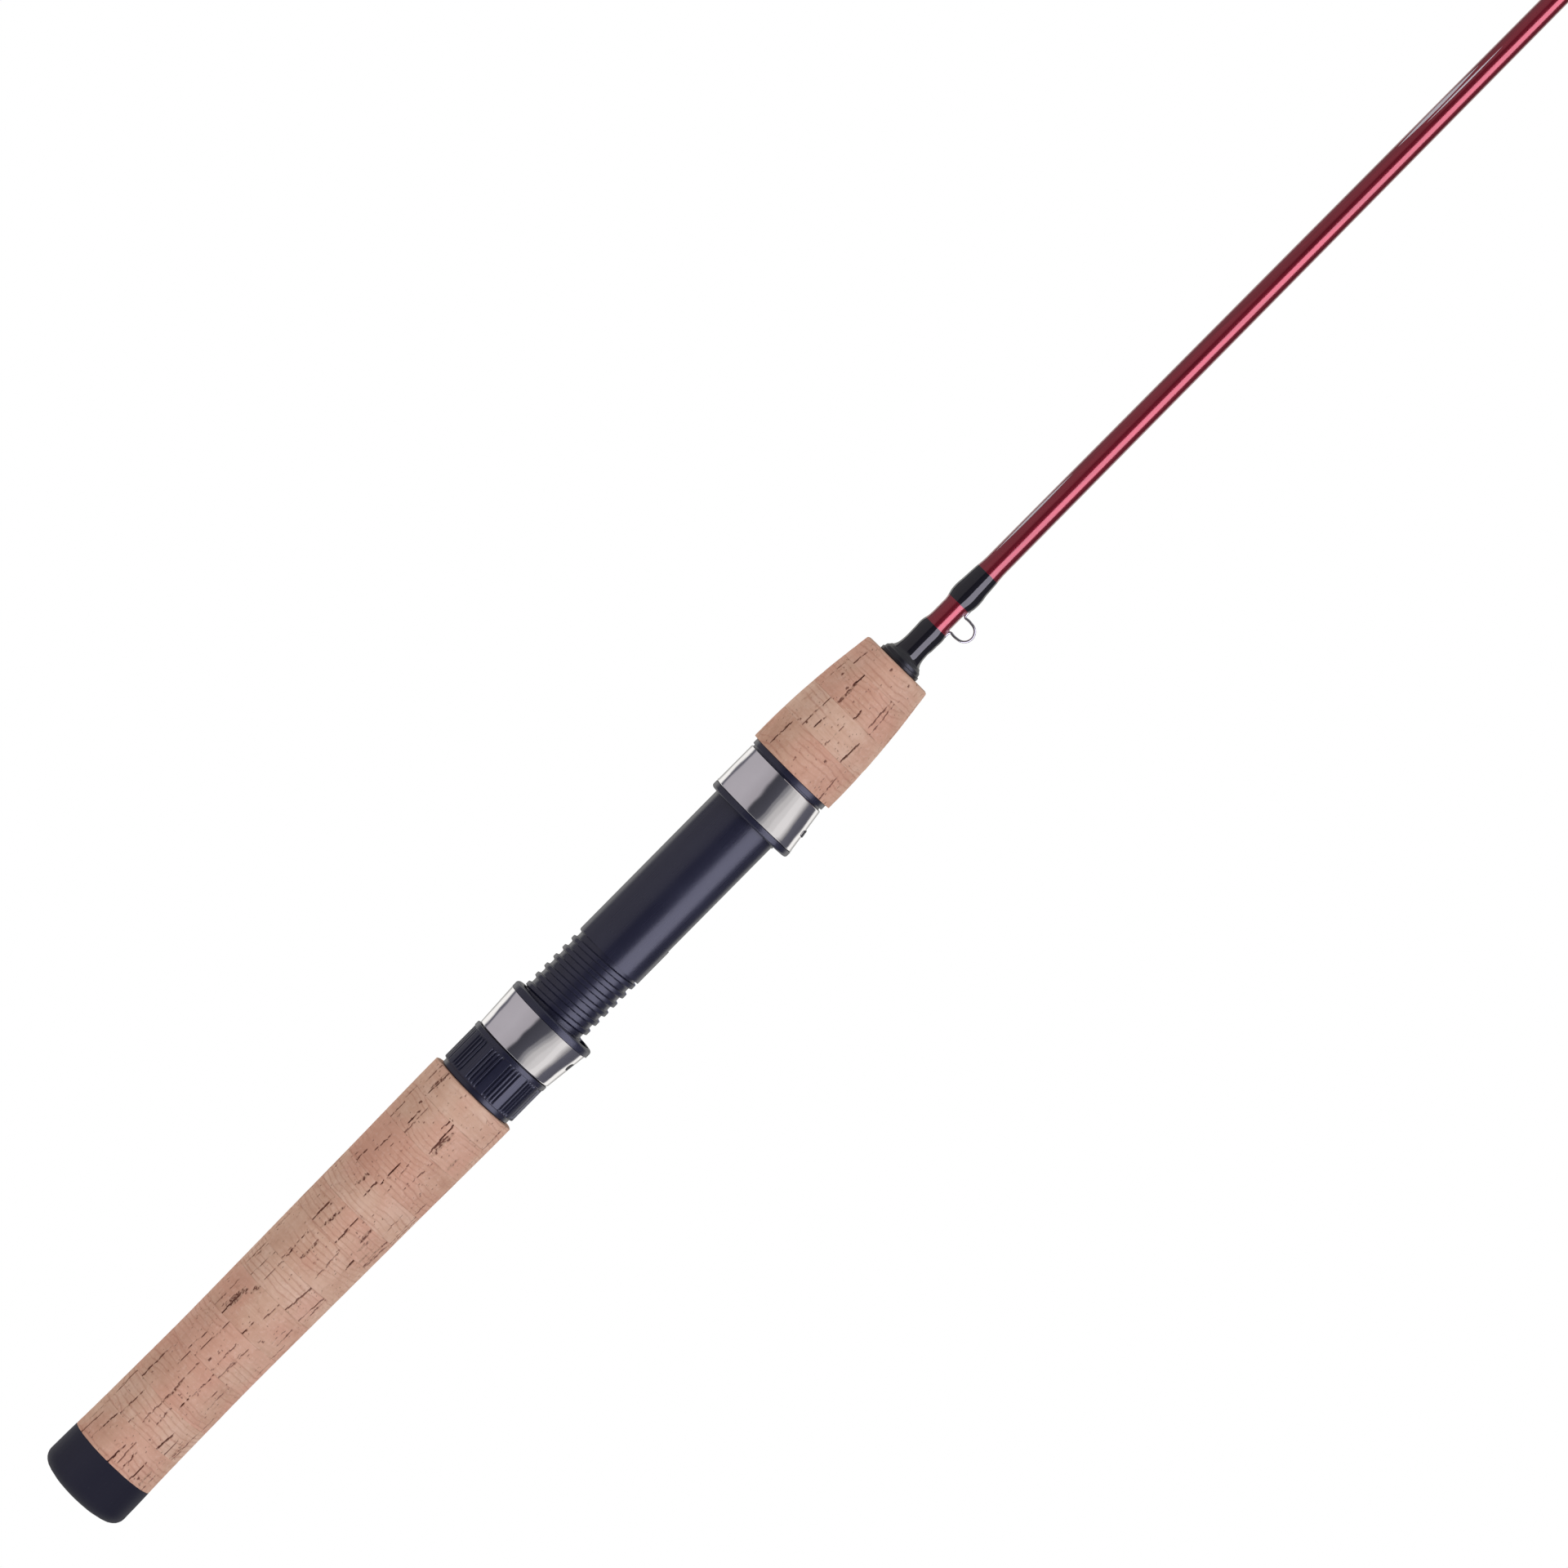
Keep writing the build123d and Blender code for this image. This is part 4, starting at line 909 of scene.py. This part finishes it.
def hood_shell(name, rear, fore, wall, slot, proud, neck=0.0, bead=None):
    """A drawn, chromed shell, wider or narrower along its length and eccentric.
    rear and fore are (x, radius, centre z) of its two ends. slot is (x, half width, half
    length) of the marked slot on the -Z side, raised by proud. neck is the length of the
    turned-in part, and bead the (x, height) of a raised line."""
    start, end = rear[0], fore[0]

    def between(x, column):
        return rear[column] + (fore[column] - rear[column]) * (x - start) / (end - start)

    def full_radius(x):
        return between(x, 1)

    outer_x = np.linspace(start, end, int(70 * DENSITY) + 2)
    from_start = np.clip((outer_x - start) / 0.35, 0, 1)
    from_end = np.clip((end - outer_x) / 0.30, 0, 1)
    outer_r = full_radius(outer_x) - (0.28 * (1 - np.sqrt(1 - (1 - from_start) ** 2))
                                      + 0.22 * (1 - np.sqrt(1 - (1 - from_end) ** 2)))
    if bead:
        outer_r = outer_r + bead[1] * np.exp(-((outer_x - bead[0]) / 0.22) ** 2)
    inner_x = [end] + list(np.linspace(end - 0.5, start + neck, 6))
    if not neck:
        inner_x.append(start)
    profile = list(zip(outer_x, outer_r)) + [(x, full_radius(x) - wall) for x in inner_x]
    if neck:
        profile += [(start + neck, NECK_R), (start + RIM_LENGTH, NECK_R),
                    (start + RIM_LENGTH, RIM_R), (start, RIM_R)]

    profile = np.array(profile)
    angle = ring_angles(int(360 * DENSITY))[None, :]
    x = profile[:, 0][:, None] + 0 * angle
    radius = profile[:, 1][:, None] + 0 * angle
    slot_x, slot_half_width, slot_half_length = slot
    side = np.maximum(np.abs(radius * np.cos(angle)) - (slot_half_length - slot_half_width), 0.0)
    away = np.hypot(x - slot_x, side)
    mark = ((1 - smooth(0.86, 1.04, away / slot_half_width)) * (np.sin(angle) < -0.5)
            * (radius > 11.0) * (radius > full_radius(x) - 0.35))
    # the turned-in rim is about the rod axis, not the shell's
    centre_z = np.where(radius <= NECK_R, 0.0, between(x, 2))
    points = about_rod(x, radius + proud * mark, angle, centre_z)
    return grid_object(name, points, sharp=40, attributes={"slot": mark})


moving_shell = hood_shell("moving_hood_shell", rear=(155.4, 11.60, -0.27),
                          fore=(167.4, 12.62, -0.68), wall=0.45, slot=(163.0, 1.25, 4.4),
                          proud=-0.04, neck=3.2)
piece(moving_shell, "hood", CHROME, "hood_shell")
fixed_shell = hood_shell("fixed_hood_shell", rear=(239.5, 12.78, -1.02),
                         fore=(SEAT_END, 11.85, -0.15), wall=0.48, slot=(245.2, 1.10, 3.4),
                         proud=0.28, bead=(239.85, 0.09))
piece(fixed_shell, "rod", CHROME, "front_hood_shell")

# -------------------------------------------------- trim ring and winding check
# x, radius, corner rounding
TRIM_CORNERS = [
    (SEAT_END, 10.0, 0), (SEAT_END, 11.3, 0.05), (252.5, 11.3, 0.05), (252.5, 11.9, 0.2),
    (TRIM_END, 11.9, 0.2), (TRIM_END, 10.0, 0)]
CHECK_CORNERS = [
    (FORE_END, 3.17, 0), (FORE_END, 6.08, 0.25), (292.65, 6.08, 0.25), (292.75, 5.72, 0.06),
    (293.55, 5.58, 0.2), (293.85, 5.2, 0.2), (CHECK_END, 4.72, 0.1), (CHECK_END, 3.17, 0)]

trim_ring = lathe("trim_ring", densify(rounded(TRIM_CORNERS), step=0.4), int(192 * DENSITY))
piece(trim_ring, "rod", GRAPHITE, "seat_trim_ring")
check = lathe("check", densify(rounded(CHECK_CORNERS), step=0.3), int(144 * DENSITY))
piece(check, "rod", CHECK, "winding_check")

# ------------------------------------------------------------------ hook keeper
FOOT_Z = -3.40
LOOP_X, LOOP_Z, LOOP_R = 309.05, -6.0, 2.57
LEG_TOP_Z, LEG_BOW = -4.1, 0.10


def keeper_path():
    """Along the -X foot, down a leg, round the loop, up the other leg and along its foot."""
    def foot(start, end):
        return [(x, 0, FOOT_Z) for x in np.linspace(start, end, 14)]

    def bend(centre_x, centre_z, radius, start, end, count):
        return [(centre_x + radius * math.cos(angle), 0, centre_z + radius * math.sin(angle))
                for angle in np.linspace(start, end, count)]

    steps = np.linspace(0.05, 1, 10)
    path = foot(299.6, 305.4)
    path += bend(305.85, -4.05, 0.65, math.pi / 2, 0.0, 9)
    path += [(LOOP_X - LOOP_R - LEG_BOW * math.sin(t * math.pi), 0, LEG_TOP_Z - 2.0 * t)
             for t in steps]
    path += bend(LOOP_X, LOOP_Z, LOOP_R, math.pi, 2 * math.pi, 40)[1:]
    path += [(LOOP_X + LOOP_R + LEG_BOW * math.sin((1 - t) * math.pi), 0, LOOP_Z + 1.9 * t)
             for t in steps]
    path += bend(312.25, -4.05, 0.63, math.pi, math.pi / 2, 9)
    return path + foot(312.7, 318.0)


keeper = tube_along("keeper_wire", keeper_path(), radius=0.34, columns=24)
piece(keeper, "rod", WIRE, "hook_keeper")

# ------------------------------------------------------ keeper wraps and finish
# x, radius of the thread and of the coat over it, at the -X and +X feet
WRAP_REAR = [(CHECK_END, 3.36), (298.7, 3.36), (299.4, 3.52), (304.5, 3.52), (304.9, 3.38),
             (305.05, 3.32)]
WRAP_FRONT = [(313.0, 3.32), (313.2, 3.40), (313.6, 3.52), (318.1, 3.52), (318.8, 3.37),
              (323.4, 3.34)]
FINISH_REAR = [
    (CHECK_END, 4.55), (294.8, 4.36), (295.3, 4.08), (296.0, 3.85), (297.0, 3.69),
    (298.4, 3.60), (300.0, 3.61), (301.5, 3.64), (303.4, 3.71), (304.1, 3.64), (304.8, 3.48),
    (305.5, 3.31), (306.3, 3.20), (306.9, 3.155)]
FINISH_FRONT = [
    (311.6, 3.155), (312.1, 3.20), (312.7, 3.32), (313.3, 3.48), (314.2, 3.70), (315.5, 3.84),
    (316.3, 3.85), (318.5, 3.68), (321.5, 3.50), (323.0, 3.39), (324.0, 3.27), (325.0, 3.18),
    (325.8, 3.145)]


def over_feet(x, angle, half_angle, rise, fall, height):
    """Swelling over the keeper's feet, on the -Z side; rise and fall are spans of x."""
    around = np.exp(-((angle - 1.5 * math.pi) / half_angle) ** 2)
    return around * smooth(*rise, x) * (1 - smooth(*fall, x)) * height


def wound(name, table, node):
    """Thread turns laid side by side."""
    start, end = table[0][0], table[-1][0]
    stations = np.arange(start, end, WRAP_PITCH / (5 if DENSITY == 1 else 3))
    profile = [(x, interpolated(table, x)) for x in stations]
    profile = [(start, BLANK_R)] + profile + [(end, BLANK_R)]

    def shape(x, angle, radius):
        phase = (x / WRAP_PITCH + angle / (2 * math.pi)) % 1.0
        lump = fbm(x * 2.0, np.cos(angle) * 2, np.sin(angle) * 2, seed=7, octaves=2) - 0.5
        foot = over_feet(x, angle, half_angle=0.16, rise=(298.9, 299.5), fall=(318.2, 318.9),
                         height=0.10)
        turned = radius - 0.025 * (2 * np.abs(phase - 0.5)) ** 2 + 0.01 * lump + foot
        return np.where(radius > BLANK_R + 0.05, turned, radius)

    wrap = lathe(name, profile, int(110 * DENSITY), shape=shape, sharp=80)
    piece(wrap, "rod", THREAD, node)


def coated(name, table, node, seed):
    """The brushed-on finish, a little uneven, thicker over the keeper's feet."""
    stations = np.linspace(table[0][0], table[-1][0], int(90 * DENSITY))
    inside = BLANK_R - 0.02
    profile = list(zip(stations, curve(table, stations)))
    profile = [(stations[0], inside)] + profile + [(stations[-1], inside)]

    def shape(x, angle, radius):
        lump = fbm(x * 0.35 + seed, np.cos(angle) * 1.3, np.sin(angle) * 1.3, seed, 2) - 0.5
        foot = over_feet(x, angle, half_angle=0.30, rise=(298.6, 300.0), fall=(317.6, 319.5),
                         height=0.14)
        foot = foot * (1 - np.exp(-((x - 309.3) / 3.0) ** 4))     # none at the loop
        uneven = radius + 0.014 * lump * smooth(0.02, 0.3, radius - BLANK_R) + foot
        return np.where(radius > BLANK_R + 0.02, uneven, radius)

    coat = lathe(name, profile, int(120 * DENSITY), shape=shape, sharp=80)
    piece(coat, "rod", COATED_WRAP, node)


wound("wrap_rear", WRAP_REAR, "keeper_wrap_rear")
wound("wrap_front", WRAP_FRONT, "keeper_wrap_front")
coated("finish_rear", FINISH_REAR, "keeper_finish_rear", seed=3)
coated("finish_front", FINISH_FRONT, "keeper_finish_front", seed=9)

# ------------------------------------------------- nodes shown as the CAD has them
MATERIAL_OF_ENDING = {"frame": STEEL, "ring": CERAMIC, "wrap": THREAD, "finish": FINISH}
for name, obj in nodes.items():
    if obj.hide_render:
        continue
    shade_smooth(obj.data, sharp=32)
    if name == "seat_arbors":
        give(obj, FOAM)
    else:
        give(obj, MATERIAL_OF_ENDING.get(name.split("_")[-1], GRAPHITE))


# ------------------------------------------------------------------------ floor
def floor_material():
    """Pale paper under a painted white glow that takes over away from the rod and where it is seen
    edge-on.
    """
    graph = material_graph("floor_pale_painted_glow")
    half_length = 0.455     # half the rod's length, and the x of its middle
    reach = 0.56            # distance from the rod at which the floor is all painted white glow
    paper = graph.grain(60, detail=4.0, rough=0.6)
    facing = graph.node("ShaderNodeLayerWeight", Blend=0.5).outputs["Facing"]
    pale = graph.mix(paper, (0.86, 0.86, 0.86, 1), (0.92, 0.92, 0.92, 1))
    diffuse = graph.node("ShaderNodeBsdfDiffuse", Color=pale)
    # painted light: a white emission, though the floor is no lamp
    glow = graph.node("ShaderNodeEmission", Color=(1, 1, 1, 1), Strength=1.0)
    x, y, _ = graph.split(graph.coords())
    from_middle = graph.math("ABSOLUTE", graph.subtract(x, half_length))
    past_end = graph.maximum(graph.subtract(from_middle, half_length), 0.0)
    far = graph.math("SQRT", graph.add(graph.multiply(past_end, past_end),
                                       graph.multiply(y, y)))
    # the painted glow grows with distance from the rod, so the floor reads as a painted pale-grey pool
    # around it
    painted_glow_fade = graph.ramp(graph.math("DIVIDE", far, reach), [(0.04, 0.45), (1.0, 1.0)], "EASE")
    # the painted glow also covers the floor where it is seen edge-on, which hides the real shadow line
    # there
    factor = graph.maximum(graph.rise(facing, start=0.955, end=0.980), painted_glow_fade)
    return graph.finish(graph.mix_shader(factor, diffuse.outputs[0], glow.outputs[0]))


def make_floor():
    rows, columns = 60, 40
    z = cad_lo.z - 0.0006
    verts = [(float(x), float(y), z) for x in np.linspace(-0.60, 1.51, rows)
             for y in np.linspace(-0.58, 0.58, columns)]
    faces = [(i * columns + j, (i + 1) * columns + j, (i + 1) * columns + j + 1,
              i * columns + j + 1) for i in range(rows - 1) for j in range(columns - 1)]
    mesh = bpy.data.meshes.new("floor")
    mesh.from_pydata(verts, [], faces)
    mesh.update()
    obj = linked_object("floor", mesh)
    give(obj, floor_material())
    obj.visible_glossy = False
    obj.visible_diffuse = False
    obj.visible_transmission = False
    obj.visible_shadow = False
    return obj


floor = make_floor()

# ------------------------------------------------------------------------ world
WORLD_STRENGTH = 5.0
PLUM, INK, CREAM = (0.98, 0.93, 0.99), (0.90, 0.90, 1.12), (1.0, 0.99, 0.95)
# Angle about the rod in degrees, brightness, colour
WORLD_LIGHT = [
    (-180, 0.42, CREAM), (-156, 0.48, CREAM), (-148, 1.0, CREAM), (-134, 1.0, CREAM),
    (-127, 0.10, INK), (-96, 0.12, INK), (-88, 0.15, PLUM), (-34, 0.13, PLUM), (-25, 0.09, INK),
    (17, 0.05, INK), (24, 0.40, PLUM), (60, 0.46, PLUM), (112, 0.44, PLUM), (118, 0.12, INK),
    (124, 0.12, INK), (131, 1.0, CREAM), (148, 1.0, CREAM), (156, 0.48, CREAM),
    (180, 0.42, CREAM)]


def studio_world():
    """A soft wrap-round light that depends on the angle about the rod; white to the camera."""
    graph = Graph(bpy.data.worlds.new("studio"), "ShaderNodeOutputWorld")
    source = graph.tree.nodes.new("ShaderNodeTexCoord").outputs["Generated"]
    x, y, z = graph.split(source)
    turn = graph.add(graph.math("DIVIDE", graph.rod_angle(y, z), 2 * math.pi), 0.5)
    stops = [((degrees + 180) / 360.0,
              tuple(bright * channel / WORLD_STRENGTH for channel in colour) + (1,))
             for degrees, bright, colour in WORLD_LIGHT]
    levels = graph.ramp(turn, stops)
    # the ends of the rod see an even grey
    ends = graph.rise(graph.math("ABSOLUTE", x), start=0.55, end=0.85)
    levels = graph.mix(ends, levels, (0.11, 0.11, 0.112, 1))
    lit = graph.node("ShaderNodeBackground", Color=levels, Strength=WORLD_STRENGTH)
    white = graph.node("ShaderNodeBackground", Color=(1, 1, 1, 1), Strength=1.0)
    to_camera = graph.tree.nodes.new("ShaderNodeLightPath").outputs["Is Camera Ray"]
    return graph.finish(graph.mix_shader(to_camera, lit.outputs[0], white.outputs[0]))


world = studio_world()
bpy.context.scene.world = world
world.cycles.sampling_method = "MANUAL"
world.cycles.sample_map_resolution = 512


# ----------------------------------------------------------------------- lights
def area(name, size_x, size_y, power, colour):
    data = bpy.data.lights.new(name, "AREA")
    data.shape = "RECTANGLE"
    data.size, data.size_y = size_x, size_y
    data.energy = power
    data.color = colour
    return linked_object(name, data)


def strip(name, low, high, radiance, colour, receivers):
    """A long lamp 1 m from the rod, seen only in reflections, between two angles in degrees
    about the rod. It lights only one collection."""
    middle, half = math.radians((low + high) / 2), math.radians((high - low) / 2)
    width, length = 2 * math.tan(half), 2.6
    lamp = area(name, length, width, radiance * math.pi * length * width, colour)
    outward = Vector((0, -math.cos(middle), math.sin(middle)))
    along = Vector((1, 0, 0))
    turn = Matrix((along, outward.cross(along), outward)).transposed()
    place = Vector((0.30, -math.cos(middle), math.sin(middle)))
    lamp.matrix_world = Matrix.Translation(place) @ turn.to_4x4()
    lamp.visible_diffuse = False
    lamp.visible_transmission = False
    lamp.light_linking.receiver_collection = receivers


SEAT_PIECES = ("seat_front", "seat_thread", "nut", "trim_ring", "hood_core", "check")


def light_group(obj):
    if obj.name.endswith("hood_shell") and not obj.hide_render:
        return "shells"
    if obj.name in SEAT_PIECES:
        return "seat"
    return "cap" if obj.name == "cap" else "rest"


# the cap has a group of its own so that no strip lights it
groups = {key: bpy.data.collections.new("lit_" + key) for key in ("shells", "seat", "cap", "rest")}
for obj in list(bpy.data.objects):
    if obj.type == "MESH" and obj is not floor:
        groups[light_group(obj)].objects.link(obj)

# Nested strips that build up a soft-edged highlight: low angle, high angle, radiance
SHELL_STRIPS = ((-92, -15, 0.14), (-87, -24, 0.13), (-84, -33, 0.14), (-80, -45, 0.11),
                (-77, -58, 0.11))
for k, (low, high, radiance) in enumerate(SHELL_STRIPS):
    strip(f"strip_shell_{k}", low, high, radiance, colour=(1.0, 0.99, 0.95),
          receivers=groups["shells"])
strip("strip_seat", low=-82, high=-33, radiance=2.5, colour=(0.95, 0.95, 1.22),
      receivers=groups["seat"])
strip("strip_rest", low=-69, high=-22, radiance=4.0, colour=(0.98, 0.94, 1.12),
      receivers=groups["rest"])

# Lamps for diffuse light only: name, place, power
LAMPS = (("key", (0.2, -1.3, 1.5), 10.5), ("low", (0.2, -1.3, -1.4), 22.0))
LAMP_TARGET = Vector((0.3, 0, 0))
for name, place, power in LAMPS:
    lamp = area(name, size_x=2.0, size_y=1.2, power=power, colour=(1.0, 0.985, 1.06))
    lamp.location = place
    lamp.rotation_euler = (LAMP_TARGET - Vector(place)).to_track_quat("-Z", "Y").to_euler()
    lamp.visible_glossy = False

# ----------------------------------------------------------------------- camera
CAMERA_TURN = math.radians(1.5)      # the camera stands a little toward the tip
CAMERA_ROLL = math.radians(45.3)
VIEW_WIDTH, CAMERA_AWAY = 0.3912, 2.26
TARGET_RIGHT, TARGET_UP = 0.17673, 0.17750      # the view's centre, along its own axes
SENSOR_WIDTH = 36.0


def make_camera():
    forward = Vector((-math.sin(CAMERA_TURN), math.cos(CAMERA_TURN), 0))
    level_right = Vector((math.cos(CAMERA_TURN), math.sin(CAMERA_TURN), 0))
    level_up = Vector((0, 0, 1))
    right = math.cos(CAMERA_ROLL) * level_right - math.sin(CAMERA_ROLL) * level_up
    up = math.sin(CAMERA_ROLL) * level_right + math.cos(CAMERA_ROLL) * level_up
    target = right * TARGET_RIGHT + up * TARGET_UP
    data = bpy.data.cameras.new("camera")
    data.type = "PERSP"
    data.sensor_width = SENSOR_WIDTH
    data.lens = SENSOR_WIDTH * CAMERA_AWAY / VIEW_WIDTH
    data.clip_start, data.clip_end = 0.1, 60.0
    camera = linked_object("camera", data)
    turn = Matrix((right, up, -forward)).transposed()
    camera.matrix_world = Matrix.Translation(target - forward * CAMERA_AWAY) @ turn.to_4x4()
    return camera


scene = bpy.context.scene
scene.camera = make_camera()
scene.view_settings.view_transform = "Standard"
scene.view_settings.look = "None"
scene.view_settings.exposure = 0.0
scene.cycles.transparent_max_bounces = 12
